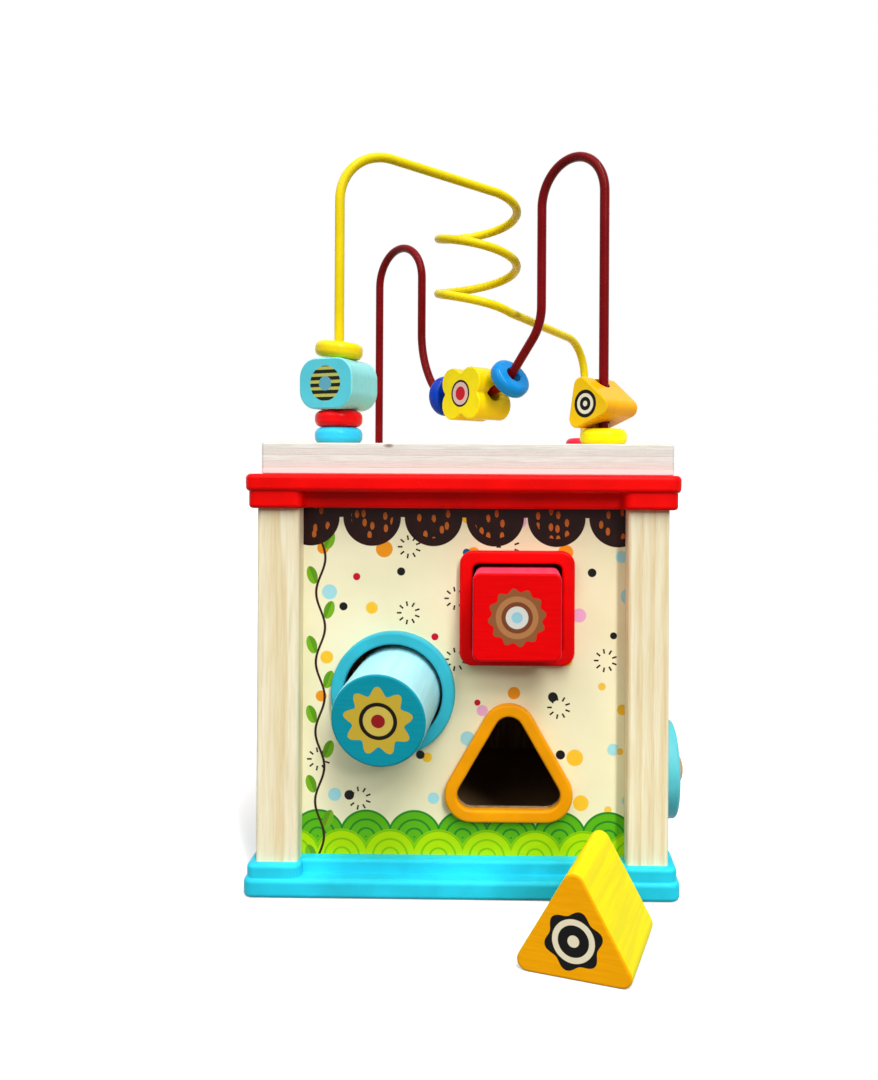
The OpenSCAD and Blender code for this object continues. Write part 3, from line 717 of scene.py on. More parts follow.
@dataclass(frozen=True)
class PrintedPanel:
    """Lacquered board printed with plain confetti, a fish-scale hem, a leafy vine and a scalloped band."""

    name: str
    across: Axis
    bottom: float
    top: float
    edge: float
    face: float
    ground: Colour = (246, 238, 196)
    full: bool = True
    scale_width: float = 23.6 * MM
    scale_rows: tuple[tuple[float, float, Colour, Colour], ...] = (
        (0.5, 8.5 * MM, (92, 176, 22), (30, 128, 40)),
        (0.0, -1.0 * MM, (176, 216, 4), (122, 190, 10)),
    )
    leaf_pitch: float = 34 * MM
    leaf: tuple[float, float] = (5.2 * MM, 2.1 * MM)
    scallop: float = 30 * MM
    scatters: tuple[Confetti, ...] = (
        Confetti(23.5 * MM, (4 * MM, 11 * MM), 2.2 * MM, 4.1 * MM, 0.34,
                 ((236, 176, 212), (250, 196, 50), (166, 222, 228), (240, 150, 30), (166, 222, 228))),
        Confetti(30 * MM, (31 * MM, 2 * MM), 1.5 * MM, 2.4 * MM, 0.0,
                 ((196, 20, 48), (14, 12, 12), (246, 196, 70), (20, 84, 136), (14, 12, 12))),
    )

    def build(self) -> bpy.types.Material:
        """Builds the material. Behind its face the board is bare wood.

        Returns:
            The material.
        """
        shade = Shade(self.name)
        parts = shade.split(shade.place())
        cloud = shade.noise(shade.place(), 22, 3)
        ground = shade.mix(cloud.ramp(0.3, 0.7), *tones(self.ground, 0.97, 0.1))
        canvas = Canvas(shade, ground, parts[self.across.value], parts[Axis.Z.value])
        for scatter in self.scatters:
            scatter.paint(canvas)
        if self.full:
            self.hem(canvas)
            self.vine(canvas)
            self.valance(canvas)
        through = parts[Axis.Y.value if self.across is Axis.X else Axis.X.value].size()
        wood = shade.mix(shade.grain((300, 300, 22), 3, 0.5).ramp(0.35, 0.7), (186, 154, 112), (156, 122, 84))
        canvas.ink(through.falling(self.face - 1.2 * MM, self.face - 0.8 * MM), wood)
        rough, fibre = cloud.ramp(0.3, 0.7, 0.4, 0.5), shade.noise(shade.place(), 1400)
        return shade.finish(canvas.colour, rough, fibre, 0.05 * MM, Specular_IOR_Level=SATIN)

    def hem(self, canvas: Canvas) -> None:
        """Prints rows of green fish scales along the bottom.

        Args:
            canvas: The face being printed.
        """
        for shift, lift, ink, line in self.scale_rows:
            u = canvas.u.cyclic(self.scale_width, shift)
            reach = canvas.shade.reach(u, canvas.v - (self.bottom + lift))
            lines = ((reach / (4.2 * MM)).fract() - 0.5).size().ramp(0.36, 0.42)
            inside = (self.scale_width * 0.56 - reach).edge(PRINT_EDGE)
            canvas.ink(inside, canvas.shade.mix(lines, ink, line))

    def vine(self, canvas: Canvas) -> None:
        """Prints a wavy stem with leaves along the left edge.

        Args:
            canvas: The face being printed.
        """
        above = canvas.v - self.bottom
        sway = (above * (math.tau / self.leaf_pitch)).sin() * (2.2 * MM)
        off = canvas.u + (self.edge - 8.5 * MM) - sway
        canvas.ink((0.6 * MM - off.size()).edge(0.1 * MM), (52, 20, 12))
        length, width = self.leaf
        for side, shift in ((1, 0.0), (-1, 0.5)):
            v = above.cyclic(self.leaf_pitch, shift)
            u = off * side - 4.2 * MM
            along, across = u * 0.62 + v * 0.78, v * 0.62 - u * 0.78
            leaf = 1 - (along / length) * (along / length) - (across / width) * (across / width)
            canvas.ink(leaf.edge(0.03), (118, 176, 30))
            canvas.ink(leaf.edge(0.03) * (across > 0.0), (92, 150, 26))

    def valance(self, canvas: Canvas) -> None:
        """Prints a dark scalloped band with warm flecks along the top.

        Args:
            canvas: The face being printed.
        """
        shade = canvas.shade
        v = canvas.v - (self.top - 4.5 * MM)
        reach = shade.reach(canvas.u.cyclic(self.scallop), v)
        inside = (self.scallop * 0.47 - reach).edge(PRINT_EDGE).high(v > 0.0)
        band = shade.mix(shade.noise(shade.place(), 160).ramp(0.3, 0.7), (34, 8, 4), (22, 4, 2))
        cells = shade.cells(shade.join(canvas.u, canvas.v * 0.55, 0.0), 3.4 * MM, 0.8)
        chance = shade.split(shade.out(cells, "Color"))[0]
        fleck = shade.out(cells, "Distance").falling(0.28, 0.34) * (chance > 0.45)
        fleck = fleck * (reach < self.scallop * 0.34)
        canvas.ink(inside, shade.mix(fleck, band, (186, 98, 38)))


# ---------------------------------------------------------------- mesh building

CREASE = 40.0  # degrees past which an edge stays sharp
SOFTENED_FROM = math.radians(35)  # turn past which a plate's edge is rounded
Loop = tuple[list[Point2], float]


def rounded_outline(corners: list[Point2], radius: float, steps: int = 8) -> list[Point2]:
    """Outline of a convex shape whose corners are arcs.

    Args:
        corners: Centres of the corner arcs, counterclockwise.
        radius: Radius of the arcs.
        steps: Points between an arc's ends.

    Returns:
        The outline's points, counterclockwise.
    """
    points = []
    for i, corner in enumerate(corners):
        before, here, after = (Vector(corners[k % len(corners)]) for k in (i - 1, i, i + 1))
        start = math.degrees(math.atan2(*(here - before).yx)) - 90
        end = math.degrees(math.atan2(*(after - here).yx)) - 90
        while end < start:
            end += 360
        points += arc(corner, radius, start, end, steps)
    return points


def arc(centre: Point2, radius: float, start: float, end: float, steps: int) -> list[Point2]:
    """Points of an arc.

    Args:
        centre: Its middle.
        radius: Its radius.
        start: Where it starts, in degrees.
        end: Where it ends.
        steps: Pieces it is drawn in.

    Returns:
        The points, one more than its steps.
    """
    turns = [math.radians(start + (end - start) * k / steps) for k in range(steps + 1)]
    return [(centre[0] + radius * math.cos(a), centre[1] + radius * math.sin(a)) for a in turns]


def square_corners(width: float, height: float, radius: float) -> list[Point2]:
    """Centres of a rectangle's corner arcs, counterclockwise."""
    x, y = width / 2 - radius, height / 2 - radius
    return [(-x, -y), (x, -y), (x, y), (-x, y)]


def triangle_corners(side: float) -> list[Point2]:
    """Centres of an upright triangle's corner arcs, counterclockwise, around its middle."""
    return arc((0, 0), side / math.sqrt(3), 90, 330, 2)


def plate(
    outline: list[Point2], depth: float, soft: float, hole: list[Point2] | None = None, segments: int = 3
) -> bmesh.types.BMesh:
    """Plate of an outline from height 0 to its depth, with rounded edges.

    Args:
        outline: The outline, counterclockwise.
        depth: Thickness along +Z.
        soft: Radius of the rounded edges.
        hole: Outline of a hole with as many points, or None.
        segments: Faces across a rounded edge.

    Returns:
        The plate.
    """
    mesh = bmesh.new()
    for loop in (outline, hole or []):
        verts = [mesh.verts.new((x, y, 0.0)) for x, y in loop]
        for i, vert in enumerate(verts):
            mesh.edges.new((verts[i - 1], vert))
    if hole is None:
        bmesh.ops.contextual_create(mesh, geom=mesh.edges[:])
    else:
        bmesh.ops.bridge_loops(mesh, edges=mesh.edges[:])
    made = bmesh.ops.extrude_face_region(mesh, geom=mesh.faces[:], use_keep_orig=True)
    top = [part for part in made["geom"] if isinstance(part, bmesh.types.BMVert)]
    bmesh.ops.translate(mesh, vec=(0, 0, depth), verts=top)
    bmesh.ops.recalc_face_normals(mesh, faces=mesh.faces[:])
    edges = [e for e in mesh.edges if len(e.link_faces) == 2 and e.calc_face_angle(0.0) > SOFTENED_FROM]
    bmesh.ops.bevel(
        mesh, geom=edges, offset=soft, offset_type="OFFSET", segments=segments, profile=0.5,
        affect="EDGES", clamp_overlap=True, material=-1,
    )
    return mesh


def turned(profile: list[Point2], steps: int) -> bmesh.types.BMesh:
    """Closed profile of (radius, height) points spun about Z.

    Args:
        profile: The profile's points in order. One that meets the axis starts and ends on it.
        steps: Faces around.

    Returns:
        The turned mesh.
    """
    mesh = bmesh.new()
    verts = [mesh.verts.new((r, 0.0, z)) for r, z in profile]
    on_axis = min(r for r, _ in profile) < 1e-6
    for i in range(1 if on_axis else 0, len(verts)):
        mesh.edges.new((verts[i - 1], verts[i]))
    bmesh.ops.spin(
        mesh, geom=mesh.verts[:] + mesh.edges[:], cent=(0, 0, 0), axis=UP, dvec=(0, 0, 0),
        angle=math.tau, steps=steps, use_merge=True, use_duplicate=False,
    )
    bmesh.ops.remove_doubles(mesh, verts=mesh.verts[:], dist=1e-6)
    bmesh.ops.recalc_face_normals(mesh, faces=mesh.faces[:])
    return mesh


def add_object(name: str, data: bpy.types.ID) -> bpy.types.Object:
    """Puts a new object in the scene.

    Args:
        name: The object's name.
        data: Its mesh, curve, lamp or camera.

    Returns:
        The object.
    """
    thing = bpy.data.objects.new(name, data)
    bpy.context.scene.collection.objects.link(thing)
    return thing


def as_data(name: str, mesh: bmesh.types.BMesh) -> bpy.types.Mesh:
    """Turns a bmesh into mesh data.

    Args:
        name: The data's name.
        mesh: The bmesh, which is freed.

    Returns:
        The mesh data.
    """
    data = bpy.data.meshes.new(name)
    mesh.to_mesh(data)
    mesh.free()
    return data


def baked(thing: bpy.types.Object) -> bpy.types.Mesh:
    """Mesh that an object's curve or modifiers come to."""
    bpy.context.view_layer.update()
    return bpy.data.meshes.new_from_object(thing.evaluated_get(bpy.context.evaluated_depsgraph_get()))


def sharpen(data: bpy.types.Mesh, crease: float) -> None:
    """Shades a mesh smooth, with sharp edges past an angle in degrees."""
    data.shade_smooth()
    data.set_sharp_from_angle(angle=math.radians(crease))


def make_piece(
    name: str, mesh: bmesh.types.BMesh, material: bpy.types.Material, at: Place, crease: float = CREASE,
    bore: bmesh.types.BMesh | None = None,
) -> bpy.types.Object:
    """Makes an object of a mesh, smooth apart from its creases.

    Args:
        name: The piece's name.
        mesh: The mesh, which is freed.
        material: Its material.
        at: Where it goes.
        crease: Turn in degrees past which an edge stays sharp.
        bore: Solid of a bore through it, in place, which is freed, or None.

    Returns:
        The object, at the origin with its place in its mesh.
    """
    mesh.transform(at.matrix())
    piece = add_object(name, as_data(name, mesh))
    piece.data.materials.append(material)
    if bore is not None:
        tool = add_object("bore", as_data("bore", bore))
        cut = piece.modifiers.new("bore", "BOOLEAN")
        cut.operation, cut.solver, cut.object = "DIFFERENCE", "EXACT", tool
        piece.data = baked(piece)
        piece.modifiers.remove(cut)
        bpy.data.objects.remove(tool)
    sharpen(piece.data, crease)
    piece.modifiers.new("even_shading", "WEIGHTED_NORMAL").keep_sharp = True
    return piece


def stand_in(piece: bpy.types.Object, node: str, body: str, slot: str) -> None:
    """Lets a piece take a CAD node's place.

    Args:
        piece: The piece.
        node: The node it stands for.
        body: The body it rides on.
        slot: The record's material slot; not used.
    """
    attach(piece, body)
    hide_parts(node)
    LOG.info("piece %s stands for %s on %s", piece.name, node, body)


def dress(node: str, material: bpy.types.Material) -> None:
    """Gives a carried-over CAD node its finish.

    Args:
        node: The node's name.
        material: Its material.
    """
    data = frame["nodes"][node].data
    data.materials.clear()
    data.materials.append(material)
    LOG.info("dressed %s in %s", node, material.name)


def middle(node: str) -> Vector:
    """Middle of a CAD node's box."""
    low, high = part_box(node)
    return (low + high) / 2


def box_middle(points: list[Vector]) -> Vector:
    """Middle of the box around some points."""
    return Vector((min(axis) + max(axis)) / 2 for axis in zip(*points))


def back_of(node: str) -> Place:
    """Place of the middle of a node's back, facing out of the sorting side."""
    centre = middle(node)
    return Place((centre.x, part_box(node)[1].y, centre.z), (QUARTER, 0, 0))


# ---------------------------------------------------------------- the cube


@dataclass
class Carcass:
    """Base board, posts, top frame, side panels and their screws."""

    cyan: Colour = (40, 205, 232)
    red: Colour = (246, 4, 2)
    pine: tuple[Colour, Colour] = ((246, 238, 208), (226, 202, 150))
    pine_ring: float = 4.6 * MM
    hearts: tuple[tuple[str, Triple], ...] = (
        ("front_left", (-0.115, -0.02, 0.03)),
        ("front_right", (0.02, -0.15, -0.04)),
        ("back_left", (-0.06, 0.14, 0.0)),
        ("back_right", (0.13, 0.05, 0.05)),
    )

    def dress(self) -> None:
        """Gives the carried-over nodes their finishes."""
        inside, face = (corner.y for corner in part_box("back_panel"))
        dress("base_board", Paint("turquoise_base_paint", self.cyan, 0.4, bare_reach=inside).build())
        dress("top_frame", Paint("red_frame_paint", self.red).build())
        for corner, heart in self.hearts:
            pine = BareWood(f"pine_{corner}", *self.pine, Axis.Z, self.pine_ring, heart)
            dress(f"post_{corner}", pine.build())
        bottom, top = (corner.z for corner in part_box("post_front_left"))
        span = {"bottom": bottom, "top": top, "edge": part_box("post_front_right")[0].x, "face": face}
        dress("front_panel", PrintedPanel("printed_front", Axis.X, **span).build())
        for side in ("left", "right"):
            dress(f"{side}_panel", PrintedPanel(f"printed_{side}", Axis.Y, full=False, **span).build())
        dress("back_panel", PrintedPanel("plain_back", Axis.X, full=False, scatters=(), **span).build())
        steel = Steel("zinc_screws").build()
        dress("base_screws", steel)
        dress("frame_screws", steel)


@dataclass
class HoleRings:
    """Coloured rings glued around the sorting holes."""

    band: float = 6.1 * MM
    round_hole: float = 24 * MM
    square_hole: float = 43.4 * MM
    square_hole_r: float = 3.5 * MM
    triangle_side: float = 35.6 * MM
    triangle_hole_r: float = 7.1 * MM
    soft: float = 1.3 * MM
    rough: float = 0.38

    def make(self) -> None:
        """Builds the three rings."""
        self.round_ring()
        hole, hole_r = self.square_hole, self.square_hole_r
        rim, rim_r = hole + 2 * self.band, hole_r + self.band / 2
        opening = square_corners(hole, hole, hole_r), hole_r
        outside = square_corners(rim, rim, rim_r), rim_r
        self.flat_ring("square_ring", "frame_paint", (238, 2, 4), opening, outside)
        corners, hole_r = triangle_corners(self.triangle_side), self.triangle_hole_r
        opening, outside = (corners, hole_r), (corners, hole_r + self.band)
        self.flat_ring("triangle_ring", "orange_paint", (248, 160, 6), opening, outside)

    def round_ring(self) -> None:
        """Turned ring around the round hole."""
        low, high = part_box("round_ring")
        depth, inner, outer, soft = high.y - low.y, self.round_hole, self.round_hole + self.band, self.soft
        profile = [(inner, 0.0), (outer, 0.0)]
        profile += arc((outer - soft, depth - soft), soft, 0, 90, 6)
        profile += arc((inner + soft, depth - soft), soft, 90, 180, 6)
        paint = Paint("turquoise_ring_paint", (54, 178, 198), self.rough).build()
        piece = make_piece("round_ring_turned", turned(profile, 96), paint, back_of("round_ring"))
        stand_in(piece, "round_ring", "cube", "turquoise_paint")

    def flat_ring(self, node: str, slot: str, colour: Colour, opening: Loop, outside: Loop) -> None:
        """Sawn ring with rounded edges.

        Args:
            node: The node it stands for.
            slot: The record's material slot.
            colour: Its paint.
            opening: Centres of the hole's corner arcs, and their radius.
            outside: Centres of the ring's corner arcs, and their radius.
        """
        low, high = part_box(node)
        rim, hole = (rounded_outline(*loop, 10) for loop in (outside, opening))
        at = back_of(node)
        if len(opening[0]) == 3:
            height = low.z + outside[1] + self.triangle_side / math.sqrt(12)
            at = Place((*at.origin[:2], height), at.turn)
        paint = Paint(f"{node}_paint", colour, self.rough).build()
        piece = make_piece(f"{node}_sawn", plate(rim, high.y - low.y, self.soft, hole), paint, at)
        stand_in(piece, node, "cube", slot)


@dataclass
class Blocks:
    """The three sorting blocks, each with its local +Z out of its printed face."""

    length: float = 48 * MM
    soft: float = 1.3 * MM
    round_d: float = 44 * MM
    square_w: float = 41 * MM
    square_r: float = 3.5 * MM
    triangle_side: float = 38.544 * MM
    triangle_r: float = 4.6 * MM
    round_turn: tuple[float, float] = (math.radians(7), math.radians(5))
    triangle_turn: float = math.radians(18)
    sun: Motif = Motif(
        ((0.0142, (206, 176, 58)), (0.0088, (24, 22, 20)), (0.0070, (214, 190, 84)), (0.0032, (150, 30, 34))),
        petals=9, wave=2.0 * MM,
    )
    rosette: Motif = Motif(
        ((0.0126, (142, 88, 52)), (0.0098, (176, 120, 74)), (0.0072, (120, 66, 40)),
         (0.0052, (214, 214, 206)), (0.0026, (150, 200, 214))),
        petals=12, wave=0.9 * MM,
    )
    target: Motif = Motif(
        ((0.0112, (18, 18, 18)), (0.0088, (232, 222, 190)), (0.0064, (18, 18, 18)), (0.0024, (232, 222, 190))),
        petals=6, wave=1.1 * MM,
    )

    def make(self) -> None:
        """Builds the blocks."""
        self.round_block()
        self.square_block()
        self.triangle_block()

    def round_block(self) -> None:
        """Round block, tilted in its hole."""
        tilt, turn = self.round_turn
        angles = (QUARTER + tilt, 0, -turn)
        back = middle("round_block") - Euler(angles).to_matrix() @ UP * (self.length / 2)
        place = Place(tuple(back), angles)
        r, s, end = self.round_d / 2, self.soft, self.length
        profile = [(0.0, 0.0), *arc((r - s, s), s, -90, 0, 5), *arc((r - s, end - s), s, 0, 90, 5), (0.0, end)]
        # The pale cyan side colour is a painted highlight: the light on the block's sides, painted over its
        # turquoise stain.
        stain = StainedBlock("turquoise_stain_painted_highlight_sides", (16, 152, 172), (176, 240, 246), place, end, self.sun)
        piece = make_piece("round_block_turned", turned(profile, 96), stain.build(), place)
        stand_in(piece, "round_block", "round_block", "block_teal")

    def square_block(self) -> None:
        """Square block, straight in its hole."""
        place = back_of("square_block")
        outline = rounded_outline(square_corners(self.square_w, self.square_w, self.square_r), self.square_r)
        # The pink side colour is a painted highlight: the lit top's colour, given to every side of the red
        # block.
        stain = StainedBlock("red_stain_painted_highlight_sides", (236, 2, 6), (242, 70, 104), place, self.length, self.rosette)
        piece = make_piece("square_block_sawn", plate(outline, self.length, self.soft), stain.build(), place)
        stand_in(piece, "square_block", "square_block", "block_red")

    def triangle_block(self) -> None:
        """Triangular block, loose on the floor."""
        angles = (QUARTER, 0, -self.triangle_turn)
        outline = rounded_outline(triangle_corners(self.triangle_side), self.triangle_r)
        mesh = plate(outline, self.length, self.soft, segments=4)
        turn = Euler(angles).to_matrix()
        own_middle = box_middle([turn @ vert.co for vert in mesh.verts])
        place = Place(tuple(middle("triangle_block") - own_middle), angles)
        stain = StainedBlock("yellow_stain", (248, 168, 6), (252, 236, 20), place, self.length, self.target)
        piece = make_piece("triangle_block_sawn", mesh, stain.build(), place)
        stand_in(piece, "triangle_block", "triangle_block", "block_yellow")


# ---------------------------------------------------------------- the lid and its maze


@dataclass
class Lid:
    """Plywood board with its locating board underneath."""

    corner: float = 1.5 * MM
    soft: float = 0.7 * MM

    def make(self) -> None:
        """Builds the board and dresses the locating board."""
        low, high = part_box("lid_board")
        centre, size = (low + high) / 2, high - low
        outline = rounded_outline(square_corners(size.x, size.y, self.corner), self.corner, 4)
        place = Place((centre.x, centre.y, low.z))
        ply = Plywood("birch_plywood", low.z, high.z).build()
        piece = make_piece("lid_board_sawn", plate(outline, size.z, self.soft), ply, place)
        stand_in(piece, "lid_board", "lid", "plywood")
        low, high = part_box("lid_plug")
        dress("lid_plug", Plywood("birch_locating_board", low.z, high.z).build())


@dataclass
class MazeWires:
    """The two bent wires of the bead maze. Points of an upright plane are (run, height)."""

    thickness: float = 5 * MM
    roundness: int = 5
    crease: float = 60
    foot_in: float = 67.6 * MM
    hole_depth: float = 12 * MM
    hump: Triple = (151 * MM, 26 * MM, math.radians(6.6))
    coil_r: float = 22.8 * MM
    coil_pitch: float = 31.9 * MM
    coil_steps: int = 150
    way_out: tuple[float, float] = (25 * MM, math.radians(4.3))
    low_loop: float = 129.2 * MM
    tall_loop: float = 152 * MM
    loop_r: float = 22 * MM
    trough: tuple[float, float] = (33.1 * MM, 39 * MM)
    left: Triple = (55 * MM, 18 * MM, math.radians(54))
    right: Triple = (20 * MM, 26.5 * MM, math.radians(48))
    lid_top: float = field(default_factory=lambda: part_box("lid_board")[1].z)
    lid_x: float = field(default_factory=lambda: middle("lid_board").x)

    def make(self) -> None:
        """Builds both wires."""
        self.wire("yellow_wire", self.yellow_points(), (250, 222, 16))
        self.wire("red_wire", self.red_points(), (122, 2, 6))

    def wire(self, node: str, points: list[Vector], colour: Colour) -> None:
        """Builds one wire as a round tube.

        Args:
            node: The node it stands for.
            points: Its centre line, from the lid's middle.
            colour: Its coating.
        """
        name = f"{node}_bent"
        curve = bpy.data.curves.new(name, "CURVE")
        curve.dimensions = "3D"
        curve.bevel_depth = self.thickness / 2
        curve.bevel_resolution = self.roundness
        curve.use_fill_caps = True
        spline = curve.splines.new("POLY")
        spline.points.add(len(points) - 1)
        for target, point in zip(spline.points, points):
            target.co = (point.x + self.lid_x, point.y, point.z, 1.0)
        spline.use_smooth = True
        helper = add_object(name, curve)
        data = baked(helper)
        bpy.data.objects.remove(helper)
        data.materials.clear()
        data.materials.append(Coating(f"{node}_coating", colour).build())
        sharpen(data, self.crease)
        stand_in(add_object(name, data), node, "lid", f"{node}_paint")

    @staticmethod
    def bend(centre: Point2, radius: float, start: float, end: float, up: int, steps: int) -> list[Point2]:
        """Bend of an upright plane.

        Args:
            centre: The bend's middle.
            radius: Its radius.
            start: The wire's pitch where it starts, in radians.
            end: Its pitch where it ends.
            up: 1 where the wire bends up, -1 where it bends down.
            steps: Pieces it is drawn in.

        Returns:
            Its points.
        """
        pitches = [start + (end - start) * k / steps for k in range(steps + 1)]
        return [(centre[0] + up * radius * math.sin(p), centre[1] - up * radius * math.cos(p)) for p in pitches]

    @staticmethod
    def upright(start: Vector, heading: float, line: list[Point2]) -> list[Vector]:
        """Points of a line in an upright plane.

        Args:
            start: Where the plane's runs are counted from.
            heading: Its direction, in radians from +X.
            line: The line's points in the plane.

        Returns:
            The points in space.
        """
        along = Vector((math.cos(heading), math.sin(heading), 0))
        return [start + along * run + UP * height for run, height in line]

    def yellow_points(self) -> list[Vector]:
        """Bends the yellow wire: hump, falling coil of two turns, and the way to its back foot.

        Returns:
            The points of its centre line.
        """
        reach = self.foot_in * math.sqrt(2)
        lead = math.asin(self.coil_r / reach)
        heading_in, heading_out = math.pi / 4 - lead, math.pi / 4 + lead
        run = math.sqrt(reach**2 - self.coil_r**2)
        bottom = self.lid_top - self.hole_depth
        height, hump_r, fall = self.hump
        foot = self.lid_top + height - hump_r
        rise = [(0, bottom), *self.bend((hump_r, foot), hump_r, QUARTER, -fall, -1, 28)]
        end_run, end_height = rise[-1]
        coil_height = end_height - (run - end_run) * math.tan(fall)
        points = self.upright(Vector((-self.foot_in, -self.foot_in, 0)), heading_in, rise)
        turn = 2 * math.tau + heading_out - heading_in
        for k in range(self.coil_steps + 1):
            swept = turn * k / self.coil_steps
            level = coil_height - self.coil_pitch * swept / math.tau
            points += self.upright(Vector(), heading_in + swept - QUARTER, [(self.coil_r, level)])
        leave = Vector((points[-1].x, points[-1].y, 0))
        exit_r, exit_fall = self.way_out
        exit_run = run - exit_r * (1 - math.sin(exit_fall))
        exit_height = points[-1].z - exit_run * math.tan(exit_fall) - exit_r * math.cos(exit_fall)
        exit_centre = (exit_run - exit_r * math.sin(exit_fall), exit_height)
        down = self.bend(exit_centre, exit_r, -exit_fall, -QUARTER, -1, 22)
        return points + self.upright(leave, heading_out, [*down, (run, bottom)])

    def red_points(self) -> list[Vector]:
        """Bends the red wire: low loop, trough and tall loop in one upright plane.

        Returns:
            The points of its centre line.
        """
        loop = self.loop_r
        span = 2 * self.foot_in * math.sqrt(2)
        height, run = self.trough
        left_r, left_low_r, left = self.left
        right_low_r, right_r, right = self.right
        bottom, floor = self.lid_top - self.hole_depth, self.lid_top + height
        low, tall = self.lid_top + self.low_loop, self.lid_top + self.tall_loop
        left_run = 2 * loop + left_r * (1 - math.sin(left)) + left_low_r * math.sin(left)
        leg = floor + left_low_r + (left_r - left_low_r) * math.cos(left)
        right_run = left_run + run
        end_run = right_run + right_low_r * math.sin(right)
        end_height = floor + right_low_r * (1 - math.cos(right))
        straight = (span - 2 * loop - end_run - right_r * (1 - math.sin(right))) / math.cos(right)
        right_leg = end_height + straight * math.sin(right) + right_r * math.cos(right)
        line = [
            (0, bottom),
            *self.bend((loop, low - loop), loop, QUARTER, -QUARTER, -1, 40),
            *self.bend((2 * loop + left_r, leg), left_r, -QUARTER, -left, 1, 14),
            *self.bend((left_run, floor + left_low_r), left_low_r, -left, 0, 1, 14),
            *self.bend((right_run, floor + right_low_r), right_low_r, 0, right, 1, 14),
            *self.bend((span - 2 * loop - right_r, right_leg), right_r, right, QUARTER, 1, 14),
            *self.bend((span - loop, tall - loop), loop, QUARTER, -QUARTER, -1, 40),
            (span, bottom),
        ]
        return self.upright(Vector((-self.foot_in, self.foot_in, 0)), -math.pi / 4, line)


